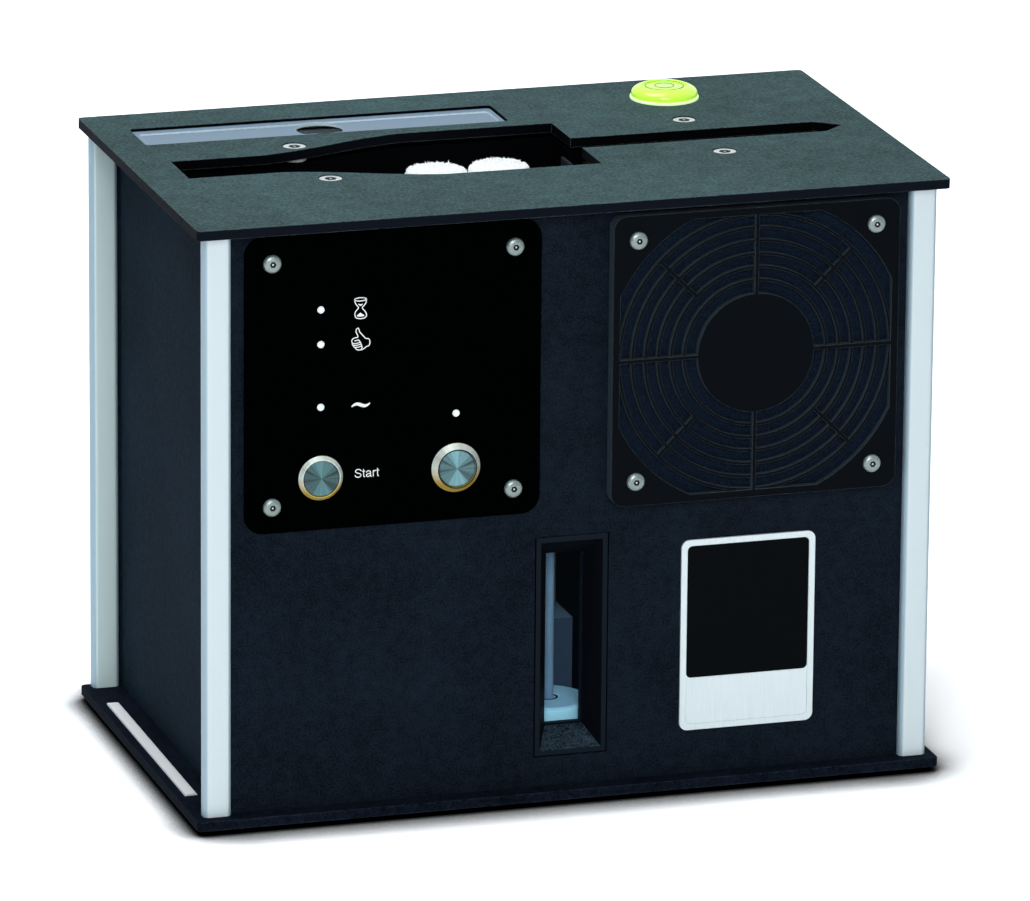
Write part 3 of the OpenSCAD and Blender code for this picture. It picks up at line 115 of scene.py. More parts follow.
class Tree:
    """Short way to add nodes to a shader or geometry tree, with their links."""

    def __init__(self, tree: bpy.types.NodeTree) -> None:
        """Empty the tree and keep it."""
        self.tree = tree
        tree.nodes.clear()

    def add(self, kind: str, inputs: Values | None = None, **settings: object) -> bpy.types.Node:
        """Add one node.

        Args:
            kind: Blender's name of the node type.
            inputs: Values or output sockets, by the name or number of the input they go to.
            settings: Properties of the node.

        Returns:
            The new node.
        """
        node = self.tree.nodes.new(kind)
        node.location = (200.0 * len(self.tree.nodes), 0.0)
        for key, value in settings.items():
            setattr(node, key, value)
        for key, value in (inputs or {}).items():
            if isinstance(value, bpy.types.NodeSocket):
                self.tree.links.new(value, node.inputs[key])
            else:
                node.inputs[key].default_value = value
        return node

    def math(self, operation: str, *terms: object, clamp: bool = False) -> bpy.types.NodeSocket:
        """Return the result of a Math node on up to three terms."""
        return self.add("ShaderNodeMath", dict(enumerate(terms)), operation=operation,
                        use_clamp=clamp).outputs[0]

    def vector(self, operation: str, *terms: object, out: str = "Vector") -> bpy.types.NodeSocket:
        """Return the result of a Vector Math node on up to three terms."""
        return self.add("ShaderNodeVectorMath", dict(enumerate(terms)),
                        operation=operation).outputs[out]

    def scaled(self, vector: object, factor: object) -> bpy.types.NodeSocket:
        """Return a vector multiplied by a number."""
        return self.add("ShaderNodeVectorMath", {"Vector": vector, "Scale": factor},
                        operation="SCALE").outputs[0]

    def noise(self, vector: object, scale: float, detail: float,
              rough: float) -> bpy.types.NodeSocket:
        """Return the value of a 3-D noise."""
        return self.add("ShaderNodeTexNoise", {"Vector": vector, "Scale": scale, "Detail": detail,
                                               "Roughness": rough}).outputs["Fac"]

    def mix(self, factor: object, first: object, second: object) -> bpy.types.NodeSocket:
        """Return a colour between two colours."""
        return self.add("ShaderNodeMix", {0: factor, 6: first, 7: second},
                        data_type="RGBA").outputs[2]

    def ramp(self, value: object, low: float, high: float, out_low: float = 0.0,
             out_high: float = 1.0) -> bpy.types.NodeSocket:
        """Return a value mapped from one range to another and held inside it."""
        return self.add("ShaderNodeMapRange", {"Value": value, "From Min": low, "From Max": high,
                                               "To Min": out_low, "To Max": out_high}).outputs[0]

    def apart(self, vector: object) -> bpy.types.NodeOutputs:
        """Return the X, Y and Z of a vector."""
        return self.add("ShaderNodeSeparateXYZ", {0: vector}).outputs


def group_sockets(tree: bpy.types.NodeTree, inputs: dict[str, str],
                  outputs: dict[str, str]) -> None:
    """Give a node group its named inputs and outputs.

    Args:
        tree: The group.
        inputs: Socket type by input name.
        outputs: Socket type by output name.
    """
    for way, sockets in (("INPUT", inputs), ("OUTPUT", outputs)):
        for name, kind in sockets.items():
            tree.interface.new_socket(name, in_out=way, socket_type=kind)


class Workshop:
    """Node groups that several finishes share, each built once.

    Each filler adds a group's nodes to a tree, from the outputs of its input node, and returns
    what goes into its output node.
    """

    PATTERN_IN = {"Vector": "NodeSocketVector", "Cell": "NodeSocketFloat",
                  "Stretch": "NodeSocketVector"}
    PATTERN_OUT = {"Tone": "NodeSocketFloat", "Height": "NodeSocketFloat"}
    EDGE_IN = {"Radius": "NodeSocketFloat"}
    EDGE_OUT = {"Mask": "NodeSocketFloat"}

    def __init__(self) -> None:
        """Start with no group built."""
        self.groups: dict[str, bpy.types.NodeTree] = {}
        self.fillers: dict[str, Callable[[Tree, bpy.types.NodeOutputs], Values]] = {
            filler.__name__: filler
            for filler in (self.grain, self.brushed, self.turned, self.pores, self.edge)}

    def group(self, name: str) -> bpy.types.NodeTree:
        """Return a group, and build it at its first use.

        Args:
            name: The pattern's name, or "edge".

        Returns:
            The node group.
        """
        if name not in self.groups:
            tree = bpy.data.node_groups.new(name, "ShaderNodeTree")
            edge = name == "edge"
            group_sockets(tree, self.EDGE_IN if edge else self.PATTERN_IN,
                          self.EDGE_OUT if edge else self.PATTERN_OUT)
            kit = Tree(tree)
            given = kit.add("NodeGroupInput").outputs
            kit.add("NodeGroupOutput", self.fillers[name](kit, given))
            self.groups[name] = tree
        return self.groups[name]

    def cells(self, kit: Tree, given: bpy.types.NodeOutputs) -> bpy.types.NodeSocket:
        """Return the object position, stretched and counted in cells of the pattern."""
        stretched = kit.vector("MULTIPLY", given["Vector"], given["Stretch"])
        return kit.scaled(stretched, kit.math("DIVIDE", 1.0, given["Cell"]))

    def grain(self, kit: Tree, given: bpy.types.NodeOutputs) -> Values:
        """Fine powder-coat grain over soft broad clouds.

        Args:
            kit: The group's tree.
            given: Outputs of its input node.

        Returns:
            The tone and the height of the pattern.
        """
        cells = self.cells(kit, given)
        fine = kit.noise(cells, 1.0, 3.0, 0.65)
        middle = kit.noise(cells, 0.22, 3.0, 0.6)
        broad = kit.noise(cells, 0.02, 3.0, 0.5)
        clouds = kit.math("ADD", kit.ramp(broad, 0.3, 0.7, -0.18, 0.18),
                          kit.ramp(middle, 0.3, 0.7, -0.22, 0.22))
        tone = kit.math("ADD", clouds, kit.ramp(fine, 0.33, 0.67))
        return {"Tone": kit.math("MINIMUM", kit.math("MAXIMUM", tone, 0.0), 1.0), "Height": fine}

    def brushed(self, kit: Tree, given: bpy.types.NodeOutputs) -> Values:
        """Fine straight lines, drawn out along one axis by the stretch.

        Args:
            kit: The group's tree.
            given: Outputs of its input node.

        Returns:
            The tone and the height of the pattern.
        """
        lines = kit.noise(self.cells(kit, given), 1.0, 4.0, 0.7)
        return {"Tone": kit.ramp(lines, 0.3, 0.7), "Height": lines}

    def turned(self, kit: Tree, given: bpy.types.NodeOutputs) -> Values:
        """Lathe marks: rings about the Z axis, with painted highlights: radial streaks and a light
        sector to each side along Y.

        Args:
            kit: The group's tree.
            given: Outputs of its input node.

        Returns:
            The tone and the height of the pattern.
        """
        flat = kit.vector("MULTIPLY", given["Vector"], (1.0, 1.0, 0.0))
        count = kit.math("DIVIDE", kit.vector("LENGTH", flat, out="Value"), given["Cell"])
        ring_at = kit.add("ShaderNodeCombineXYZ", {"X": count}).outputs[0]
        rings = kit.noise(ring_at, 1.0, 3.0, 0.7)
        way = kit.vector("NORMALIZE", flat)
        # Painted highlights: radial streaks and a light sector to each side along Y stand in for
        # the turned metal's reflections.
        painted_spokes = kit.noise(way, 3.4, 4.0, 0.65)
        part = kit.apart(way)
        painted_wedge = kit.ramp(kit.math("MULTIPLY", part["X"], part["X"]), 0.62, 0.02)
        tone = kit.math("MULTIPLY_ADD", kit.ramp(painted_spokes, 0.36, 0.64), 0.42,
                        kit.math("MULTIPLY_ADD", kit.ramp(rings, 0.3, 0.7), 0.10,
                                 kit.math("MULTIPLY", painted_wedge, 0.48)))
        return {"Tone": tone, "Height": rings}

    def pores(self, kit: Tree, given: bpy.types.NodeOutputs) -> Values:
        """Open cells of a foam: dark hollows between lighter walls.

        Args:
            kit: The group's tree.
            given: Outputs of its input node.

        Returns:
            The tone and the height of the pattern.
        """
        cells = self.cells(kit, given)
        cell = kit.add("ShaderNodeTexVoronoi", {"Vector": cells, "Scale": 1.0}, feature="F1")
        walls = kit.ramp(cell.outputs["Distance"], 0.15, 0.75)
        cloud = kit.ramp(kit.noise(cells, 0.25, 2.0, 0.6), 0.25, 0.75, 0.5, 1.0)
        return {"Tone": kit.math("MULTIPLY", walls, cloud), "Height": walls}

    def edge(self, kit: Tree, given: bpy.types.NodeOutputs) -> Values:
        """Mask of convex edges: how far a rounded normal leans from the true one.

        Args:
            kit: The group's tree.
            given: Outputs of its input node.

        Returns:
            The mask.
        """
        bevel = kit.add("ShaderNodeBevel", {"Radius": given["Radius"]}, samples=4)
        normal = kit.add("ShaderNodeNewGeometry").outputs["Normal"]
        lean = kit.vector("DOT_PRODUCT", bevel.outputs[0], normal, out="Value")
        return {"Mask": kit.ramp(lean, 0.99, 0.75)}


@dataclass(frozen=True)
class Finish:
    """One finish: its colour, gloss and close-up pattern.

    The first six fields are its name, colour and roughness, and the cell, contrast and depth of
    its pattern. A brushed finish has lines along an axis. The side colour is painted light and
    shade on walls, and the face colour painted light and shade on walls that look to the front.
    The low colour is a painted reflection under the centre. The hollow is how far away a
    neighbour darkens a wall with painted shade. The edge colour is a painted highlight, and the
    emission is painted light.
    """

    name: str
    colour: Colour
    rough: float
    cell: float
    contrast: float
    depth: float
    metal: float = 0.0
    specular: float = 0.5
    pattern: Pattern = Pattern.GRAIN
    lines: Axis | None = None
    centre: Point = (0.0, 0.0, 0.0)
    turn: Point = (0.0, 0.0, 0.0)
    # Painted highlight on convex edges, and how strongly it shows.
    edge_highlight: Colour | None = None
    edge_highlight_strength: float = 0.0
    # Painted light and shade: colours for walls and for walls that look to the front.
    side: Colour | None = None
    face: Colour | None = None
    # Painted reflection: colour laid under the centre.
    low: Colour | None = None
    # Reach of the painted shade that ambient occlusion lays on walls.
    hollow: float = 0.0
    alpha: float = 1.0
    subsurface: float = 0.0
    sheen: float = 0.0
    coat: float = 0.0
    # Strength of painted light sent out as emission in the finish's own colour.
    painted_glow: float = 0.0

    ROUGH_SPREAD = 0.06
    # Normal ranges that pick walls and front faces for painted light and shade.
    TOP_SPAN = (0.4, 0.78)
    FRONT_SPAN = (-0.85, -0.97)
    # Height range of the painted reflection under the centre.
    LOW_REFLECTION_SPAN = (1.0 * MM, -6.0 * MM)
    # Power on the occlusion for the painted shade on walls.
    OCCLUSION_SHADE_POWER = 3.0
    EDGE_RADIUS = 0.5 * MM
    COAT_ROUGH = 0.15
    SCATTER = 2.0 * MM

    def build(self, shop: Workshop) -> bpy.types.Material:
        """Make the Blender material.

        Args:
            shop: The shared node groups.

        Returns:
            The material.
        """
        material = bpy.data.materials.new(self.name)
        material.use_nodes = True
        kit = Tree(material.node_tree)
        place = kit.add("ShaderNodeMapping", {
            "Vector": kit.add("ShaderNodeTexCoord").outputs["Object"],
            "Location": tuple(-value * MM for value in self.centre)}).outputs[0]
        turned = kit.add("ShaderNodeMapping", {"Vector": place, "Rotation": self.turn}).outputs[0]
        kind = Pattern.BRUSHED if self.lines else self.pattern
        stretch = tuple(BRUSH_STRETCH if axis is self.lines else 1.0 for axis in Axis)
        pattern = kit.add("ShaderNodeGroup", {"Vector": turned, "Cell": self.cell * MM,
                                              "Stretch": stretch},
                          node_tree=shop.group(kind.value)).outputs
        dark, light = ((*(value * (1.0 + shift) for value in self.colour), 1.0)
                       for shift in (-self.contrast, self.contrast))
        colour = kit.mix(pattern["Tone"], dark, light)
        # Painted light and shade: walls take the side colour and front faces the face colour, by
        # the lean of their normals.
        if self.side:
            way = kit.apart(kit.add("ShaderNodeTexCoord").outputs["Normal"])
            walls: object = (*self.side, 1.0)
            # Painted shade: ambient occlusion darkens walls near other parts.
            if self.hollow:
                free = kit.add("ShaderNodeAmbientOcclusion", {"Distance": self.hollow * MM},
                               samples=SHADE_SAMPLES).outputs["AO"]
                walls = kit.scaled(self.side, kit.math("POWER", free, self.OCCLUSION_SHADE_POWER))
            colour = kit.mix(kit.ramp(way["Z"], *self.TOP_SPAN), walls, colour)
            if self.face:
                colour = kit.mix(kit.ramp(way["Y"], *self.FRONT_SPAN), colour, (*self.face, 1.0))
        # Painted reflection: the low colour under the centre.
        if self.low:
            low_reflection_mask = kit.ramp(kit.apart(place)["Z"], *self.LOW_REFLECTION_SPAN)
            colour = kit.mix(low_reflection_mask, colour, (*self.low, 1.0))
        # Painted highlight along convex edges, by the edge mask.
        if self.edge_highlight:
            edge = kit.add("ShaderNodeGroup", {"Radius": self.EDGE_RADIUS},
                           node_tree=shop.group("edge")).outputs["Mask"]
            mask = kit.math("MULTIPLY", edge, kit.math("MULTIPLY", pattern["Tone"], self.edge_highlight_strength),
                            clamp=True)
            colour = kit.mix(mask, colour, (*self.edge_highlight, 1.0))
        bump = kit.add("ShaderNodeBump", {"Height": pattern["Height"], "Strength": 1.0,
                                          "Distance": self.depth * MM}).outputs[0]
        rough = kit.ramp(pattern["Tone"], 0.0, 1.0, max(self.rough - self.ROUGH_SPREAD, 0.02),
                         min(self.rough + self.ROUGH_SPREAD, 1.0))
        # The emission is painted light; no finish here is a lamp.
        shader = kit.add("ShaderNodeBsdfPrincipled", {
            "Base Color": colour, "Roughness": rough, "Normal": bump, "Metallic": self.metal,
            "Specular IOR Level": self.specular, "Alpha": self.alpha, "Coat Weight": self.coat,
            "Coat Roughness": self.COAT_ROUGH, "Sheen Weight": self.sheen,
            "Subsurface Weight": self.subsurface, "Subsurface Scale": self.SCATTER,
            "Emission Strength": self.painted_glow, "Emission Color": (*self.colour, 1.0)})
        kit.add("ShaderNodeOutputMaterial", {"Surface": shader.outputs[0]})
        return material


# Painted highlight colour for the edges of the plates.
PLATE_EDGE_HIGHLIGHT = (0.30, 0.38, 0.42)
FACE_FRONT: Point = (math.pi / 2, 0.0, 0.0)
# Posts: the side colour is painted shade on their left faces, the face colour painted light on
# their fronts.
POST = Finish("post_metal", (0.64, 0.76, 0.80), 0.45, 0.5, 0.04, 0.002, metal=0.25, lines=Axis.Z,
              side=(0.420, 0.570, 0.660), face=(0.740, 0.850, 0.890))
CASING_FINISHES = (
    POST,
    # A brighter copy with painted light for the rear post, which stands in shade.
    replace(POST, name="post_painted_light", side=(0.440, 0.610, 0.710), face=(0.800, 1.0, 1.0)),
    # Plates: bright edges are painted highlights; the top plate's walls carry painted shade,
    # darker in the slot by occlusion.
    Finish("slate_plate", (0.0056, 0.0088, 0.0160), 0.6, 1.0, 0.6, 0.05, specular=0.008,
           edge_highlight=PLATE_EDGE_HIGHLIGHT, edge_highlight_strength=0.5),
    Finish("top_finish", (0.046, 0.087, 0.092), 0.6, 1.5, 0.6, 0.04, specular=0.03, edge_highlight=PLATE_EDGE_HIGHLIGHT,
           edge_highlight_strength=0.5, side=(0.0042, 0.0062, 0.0110), hollow=60.0),
    Finish("navy_panel", (0.0060, 0.0104, 0.0176), 0.65, 0.85, 0.6, 0.06, specular=0.03),
    Finish("side_panel", (0.0125, 0.0225, 0.0345), 0.65, 0.9, 0.5, 0.05, specular=0.008),
    # The strip's emission is painted light that brightens it.
    Finish("strip_metal", (0.95, 0.98, 1.0), 0.45, 0.5, 0.06, 0.002, metal=0.15, lines=Axis.Y,
           painted_glow=0.06),
    Finish("badge_metal", (0.82, 0.93, 0.96), 0.35, 0.4, 0.05, 0.002, metal=0.5, lines=Axis.Z),
    Finish("badge_black", (0.002, 0.003, 0.004), 0.4, 0.4, 0.4, 0.003, specular=0.03,
           lines=Axis.X),
    Finish("rubber_black", (0.012, 0.013, 0.014), 0.75, 0.3, 0.2, 0.01, specular=0.3),
)
CONTROL_FINISHES = (
    Finish("control_black", (0.0002, 0.0007, 0.0005), 0.6, 0.5, 0.3, 0.004, specular=0.0),
    # Print: a faint painted light by emission.
    Finish("print_white", (0.93, 0.95, 0.95), 0.7, 0.4, 0.02, 0.001, specular=0.1, painted_glow=0.04),
    Finish("screw_steel", (0.31, 0.38, 0.37), 0.35, 0.4, 0.15, 0.004, metal=0.7),
    Finish("top_screw_steel", (0.70, 0.77, 0.77), 0.35, 0.4, 0.08, 0.003, metal=0.6),
    Finish("socket_black", (0.006, 0.008, 0.009), 0.6, 0.4, 0.3, 0.004, specular=0.1),
    # Indicator domes are unlit; their emission is painted light.
    Finish("light_white", (0.92, 0.97, 0.96), 0.35, 0.4, 0.02, 0.001, subsurface=0.2, painted_glow=0.25),
    Finish("board_green", (0.020, 0.110, 0.050), 0.4, 0.4, 0.2, 0.01),
    # Guard: edge and side colours are painted glints on the rings, the face colour painted shade
    # on front faces.
    Finish("guard_black", (0.038, 0.054, 0.066), 0.42, 0.6, 0.3, 0.012, specular=0.04,
           edge_highlight=(0.085, 0.11, 0.13), edge_highlight_strength=1.0, side=(0.040, 0.058, 0.072),
           face=(0.0016, 0.0031, 0.0048)),
    # Moulded black: the light edge colour is a painted highlight.
    Finish("moulded_black", (0.0020, 0.0030, 0.0042), 0.45, 0.6, 0.3, 0.012, specular=0.08,
           edge_highlight=(0.060, 0.070, 0.078), edge_highlight_strength=0.6),
    Finish("foam_navy", (0.0068, 0.0135, 0.0255), 0.9, 0.55, 0.6, 0.2, specular=0.02,
           pattern=Pattern.PORES),
    Finish("fan_black", (0.010, 0.011, 0.012), 0.5, 0.3, 0.2, 0.005),
)
CLEAR_FINISHES = (
    # Window frame: side and face colours are painted shade on its slopes and front.
    Finish("window_dark", (0.018, 0.033, 0.047), 0.6, 0.75, 1.0, 0.12, specular=0.05,
           side=(0.0018, 0.0028, 0.0050), face=(0.0058, 0.0108, 0.0178)),
    Finish("clear_glass", (0.05, 0.08, 0.11), 0.05, 2.0, 0.05, 0.0, alpha=0.015, specular=0.02),
    # Float: the side colour is painted light on its walls, and its emission painted light.
    Finish("float_white", (0.34, 0.72, 1.0), 0.5, 1.5, 0.08, 0.004, specular=0.05,
           side=(0.38, 0.82, 1.0), painted_glow=0.09),
    # Near black for the ring of painted shade on the float's top.
    Finish("float_painted_shade", (0.010, 0.016, 0.026), 0.4, 0.5, 0.2, 0.004, specular=0.2),
    # Pump: the side colour is painted shade on its walls.
    Finish("pump_grey", (0.34, 0.66, 1.0), 0.6, 1.5, 0.0, 0.004, specular=0.05,
           side=(0.080, 0.150, 0.255)),
    Finish("rod_pale", (0.19, 0.36, 0.54), 0.5, 0.2, 0.06, 0.002, specular=0.1, lines=Axis.Z),
    # Lid: the light side and edge colours are painted highlights on its rims.
    Finish("lid_clear", (0.19, 0.285, 0.385), 0.4, 1.2, 0.05, 0.004, specular=0.2,
           side=(0.62, 0.74, 0.80), edge_highlight=(0.95, 0.98, 1.0), edge_highlight_strength=2.0),
    # The level's body, ring and liquid send out painted light by emission.
    Finish("level_yellow", (0.52, 0.95, 0.06), 0.2, 1.5, 0.03, 0.002, subsurface=0.3, painted_glow=0.45,
           coat=0.5),
    Finish("level_ring", (0.72, 1.0, 0.50), 0.3, 0.8, 0.05, 0.002, subsurface=0.2, painted_glow=0.6),
    Finish("level_mark", (0.10, 0.16, 0.03), 0.4, 0.2, 0.1, 0.001),
    Finish("vial_green", (0.55, 0.95, 0.08), 0.12, 1.5, 0.03, 0.001, subsurface=0.2, painted_glow=0.4,
           coat=0.6),
    Finish("bubble_clear", (0.75, 0.98, 0.55), 0.1, 1.0, 0.02, 0.0, alpha=0.35, coat=0.5),
)
WET_FINISHES = (
    Finish("tank_grey", (0.004, 0.008, 0.018), 0.6, 0.8, 0.2, 0.01, specular=0.05),
    Finish("deck_grey", (0.09, 0.10, 0.12), 0.45, 0.2, 0.15, 0.004, metal=0.3, lines=Axis.X),
    Finish("hose_clear", (0.55, 0.62, 0.64), 0.2, 0.8, 0.05, 0.004, alpha=0.7),
    Finish("basin_dark", (0.0010, 0.0013, 0.0018), 0.6, 0.8, 0.25, 0.01, specular=0.01),
    Finish("nylon_white", (0.72, 0.73, 0.70), 0.5, 0.4, 0.05, 0.005, subsurface=0.1),
    Finish("lip_silicone", (0.010, 0.012, 0.018), 0.5, 0.5, 0.1, 0.006, specular=0.2),
    # The pile's emission is painted light that brightens it.
    Finish("pile_white", (0.93, 0.95, 0.96), 0.95, 0.3, 0.05, 0.02, specular=0.1, sheen=0.4,
           subsurface=0.2, painted_glow=0.15),
    Finish("gear_nylon", (0.62, 0.64, 0.62), 0.45, 0.5, 0.06, 0.004, subsurface=0.1),
    Finish("brass_gear", (0.62, 0.47, 0.20), 0.35, 0.3, 0.12, 0.003, metal=1.0),
    Finish("motor_steel", (0.45, 0.47, 0.49), 0.35, 0.2, 0.08, 0.002, metal=0.9, lines=Axis.X),
    Finish("sponge_dark", (0.050, 0.066, 0.080), 0.95, 0.7, 0.7, 0.3, specular=0.1,
           pattern=Pattern.PORES),
)


class Palette:
    """All finishes of the machine by name, made into materials at their first use."""

    def __init__(self) -> None:
        """Take in the tables of finishes."""
        self.shop = Workshop()
        self.made: dict[str, bpy.types.Material] = {}
        self.finishes = {item.name: item for item in (
            *CASING_FINISHES, *CONTROL_FINISHES, *CLEAR_FINISHES, *WET_FINISHES)}

    def material(self, finish: str | Finish) -> bpy.types.Material:
        """Return the material of a finish.

        Args:
            finish: The finish itself or its name.

        Returns:
            Its material.
        """
        chosen = self.finishes[finish] if isinstance(finish, str) else finish
        if chosen.name not in self.made:
            self.made[chosen.name] = chosen.build(self.shop)
        return self.made[chosen.name]


def smooth_by_angle() -> bpy.types.NodeTree:
    """Return a geometry group that shades faces smooth and keeps edges over 30 degrees sharp."""
    name = "smooth_by_angle"
    if name in bpy.data.node_groups:
        return bpy.data.node_groups[name]
    tree = bpy.data.node_groups.new(name, "GeometryNodeTree")
    tree.is_modifier = True
    group_sockets(tree, {"Geometry": "NodeSocketGeometry"}, {"Geometry": "NodeSocketGeometry"})
    kit = Tree(tree)
    plain = kit.add("GeometryNodeRemoveAttribute", {
        "Geometry": kit.add("NodeGroupInput").outputs[0], "Name": "custom_normal"})
    angle = kit.add("GeometryNodeInputMeshEdgeAngle")
    soft = kit.add("FunctionNodeCompare", {0: angle.outputs[0], 1: SHARP_ANGLE},
                   data_type="FLOAT", operation="LESS_EQUAL")
    edges = kit.add("GeometryNodeSetShadeSmooth", {
        "Geometry": plain.outputs[0], "Shade Smooth": soft.outputs[0]}, domain="EDGE")
    faces = kit.add("GeometryNodeSetShadeSmooth", {
        "Geometry": edges.outputs[0], "Shade Smooth": True}, domain="FACE")
    kit.add("NodeGroupOutput", {0: faces.outputs[0]})
    return tree


class Bench:
    """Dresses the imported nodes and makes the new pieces."""

    def __init__(self, frame: dict, palette: Palette) -> None:
        self.nodes: dict[str, bpy.types.Object] = frame["nodes"]
        self.palette = palette

    def box(self, node: str) -> tuple[np.ndarray, np.ndarray]:
        """Return the lowest and highest corner of a node, in millimetres."""
        low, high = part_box(node)
        return np.array(low) / MM, np.array(high) / MM

    def middle(self, node: str) -> np.ndarray:
        """Return the middle of a node's box, in millimetres."""
        return sum(self.box(node)) / 2

    def dress(self, node: str, finish: str | Finish, edge: float = 0.0) -> None:
        """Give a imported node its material, and round its sharp edges.

        Args:
            node: Name of the node.
            finish: Its finish.
            edge: Radius of the rounded edges in millimetres, or 0 to leave them.
        """
        piece = self.nodes[node]
        material = self.palette.material(finish)
        if not piece.material_slots:
            piece.data.materials.append(material)
        for slot in piece.material_slots:
            slot.material = material
        if edge:
            weld = piece.modifiers.new("weld", "WELD")
            weld.merge_threshold = WELD_GAP
            flat = piece.modifiers.new("flat", "DECIMATE")
            flat.decimate_type = "DISSOLVE"
            flat.angle_limit = FLAT_ANGLE
            smooth = piece.modifiers.new("smooth", "NODES")
            smooth.node_group = smooth_by_angle()
            bevel = piece.modifiers.new("edges", "BEVEL")
            bevel.width = edge * MM
            bevel.segments = 2
            bevel.limit_method = "ANGLE"
            bevel.angle_limit = SHARP_ANGLE
            bevel.use_clamp_overlap = True
            bevel.harden_normals = True
        LOG.info("dressed %s", node)

    def piece(self, name: str, form: Mesh, finish: str | Finish, slot: str,
              body: str = "housing", replaces: Sequence[str] = (), smooth: bool = False,
              weld: bool = False) -> bpy.types.Object:
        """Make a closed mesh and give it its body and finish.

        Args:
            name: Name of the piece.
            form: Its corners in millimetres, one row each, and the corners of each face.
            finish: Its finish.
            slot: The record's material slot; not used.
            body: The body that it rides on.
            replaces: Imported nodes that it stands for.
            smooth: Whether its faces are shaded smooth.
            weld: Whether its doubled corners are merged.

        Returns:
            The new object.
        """
        verts, faces = form
        mesh = bpy.data.meshes.new(name)
        mesh.from_pydata((verts * MM).tolist(), [], faces)
        shape = bmesh.new()
        shape.from_mesh(mesh)
        if weld:
            bmesh.ops.remove_doubles(shape, verts=shape.verts, dist=DOUBLE_GAP)
        bmesh.ops.recalc_face_normals(shape, faces=shape.faces)
        shape.to_mesh(mesh)
        shape.free()
        mesh.shade_smooth() if smooth else mesh.shade_flat()
        mesh.materials.append(self.palette.material(finish))
        made = bpy.data.objects.new(name, mesh)
        bpy.context.scene.collection.objects.link(made)
        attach(made, body)
        if replaces:
            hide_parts(*replaces)
        LOG.info("made %s, %d faces", name, len(faces))
        return made


def circle(around: int) -> np.ndarray:
    """Return equal angles once round, without the end."""
    return np.linspace(0.0, ROUND, around, endpoint=False)


def polar(radius: float | np.ndarray, angle: np.ndarray, height: float | np.ndarray) -> np.ndarray:
    """Return the points (r cos t, r sin t, h) of a radius, an angle and a height."""
    return np.stack(np.broadcast_arrays(radius * np.cos(angle), radius * np.sin(angle), height),
                    axis=-1)


def ring_quads(rings: int, around: int, closed: bool = False, capped: bool = False) -> Faces:
    """Return the quads between rings of points laid out one after another.

    Args:
        rings: Number of rings.
        around: Points in a ring.
        closed: Whether the last ring joins the first.
        capped: Whether the first and the last ring are faces too.

    Returns:
        The faces.
    """
    row, col = np.meshgrid(np.arange(rings if closed else rings - 1), np.arange(around),
                           indexing="ij")
    next_row = (row + 1) % rings
    next_col = (col + 1) % around
    quads = np.stack([row * around + col, row * around + next_col,
                      next_row * around + next_col, next_row * around + col], axis=-1)
    caps = [list(range(around)), list(range((rings - 1) * around, rings * around))[::-1]]
    return quads.reshape(-1, 4).tolist() + (caps if capped else [])


def copies(faces: Faces, count: int, stride: int) -> Faces:
    """Return faces with one number of corners again for each copy of their mesh.

    Args:
        faces: Faces of the small mesh.
        count: Number of copies.
        stride: Corners of the small mesh.

    Returns:
        The faces of all copies.
    """
    base = np.arange(count)[:, None, None] * stride
    return (base + np.array(faces)).reshape(-1, len(faces[0])).tolist()


def joined(parts: Iterable[Mesh]) -> Mesh:
    """Put several meshes into one list of vertices and faces.

    Args:
        parts: The meshes.

    Returns:
        The one mesh.
    """
    verts, faces, count = [], [], 0
    for points, polygons in parts:
        verts.append(points)
        faces += [[index + count for index in polygon] for polygon in polygons]
        count += len(points)
    return np.vstack(verts), faces


def lathe(profile: Path, centre: Sequence[float], axis: Axis = Axis.Z, around: int = 48) -> Mesh:
    """Turn a closed profile about an axis.

    A point of the profile at radius r and height h goes to
    centre + r cos(t) u + r sin(t) v + h w, where w is the axis and t runs once round.

    Args:
        profile: Radius and height of each point, in order round the section. Points with radius
            zero at both ends close the surface on the axis.
        centre: Where radius and height are zero.
        axis: Axis of the turn.
        around: Steps of the turn.

    Returns:
        The vertices in millimetres and the faces.
    """
    points = np.array(profile, dtype=float)
    on_axis = not (points[0, 0] or points[-1, 0])
    rim = points[1:-1] if on_axis else points
    u, v, w = (np.eye(3)[(axis.value + step) % 3] for step in (1, 2, 0))
    turn = circle(around)[:, None]
    spoke = np.cos(turn) * u + np.sin(turn) * v
    verts = (rim[:, 0, None, None] * spoke + rim[:, 1, None, None] * w).reshape(-1, 3)
    faces = ring_quads(len(rim), around, closed=not on_axis)
    if on_axis:
        first, last, top = len(verts), len(verts) + 1, len(verts) - around
        verts = np.vstack([verts, points[0, 1] * w, points[-1, 1] * w])
        for step in range(around):
            after = (step + 1) % around
            faces += [[first, after, step], [last, top + step, top + after]]
    return verts + np.array(centre, dtype=float), faces


def tube(radii: Pair, heights: Pair, centre: Sequence[float], axis: Axis = Axis.Z,
         around: int = 48) -> Mesh:
    """Turn a rectangle about an axis: a ring, or a disc where the inner radius is zero.

    Args:
        radii: Inner and outer radius.
        heights: Foot and top.
        centre: Where radius and height are zero.
        axis: Axis of the turn.
        around: Steps of the turn.

    Returns:
        The vertices in millimetres and the faces.
    """
    (inner, outer), (foot, top) = radii, heights
    return lathe([(inner, foot), (outer, foot), (outer, top), (inner, top)], centre, axis, around)


def arc(centre: Pair, radius: Pair, start: float, end: float, steps: int) -> np.ndarray:
    """Return points along part of an ellipse, with the angles in degrees."""
    angle = np.radians(np.linspace(start, end, steps))
    return np.stack([centre[0] + radius[0] * np.cos(angle),
                     centre[1] + radius[1] * np.sin(angle)], axis=-1)


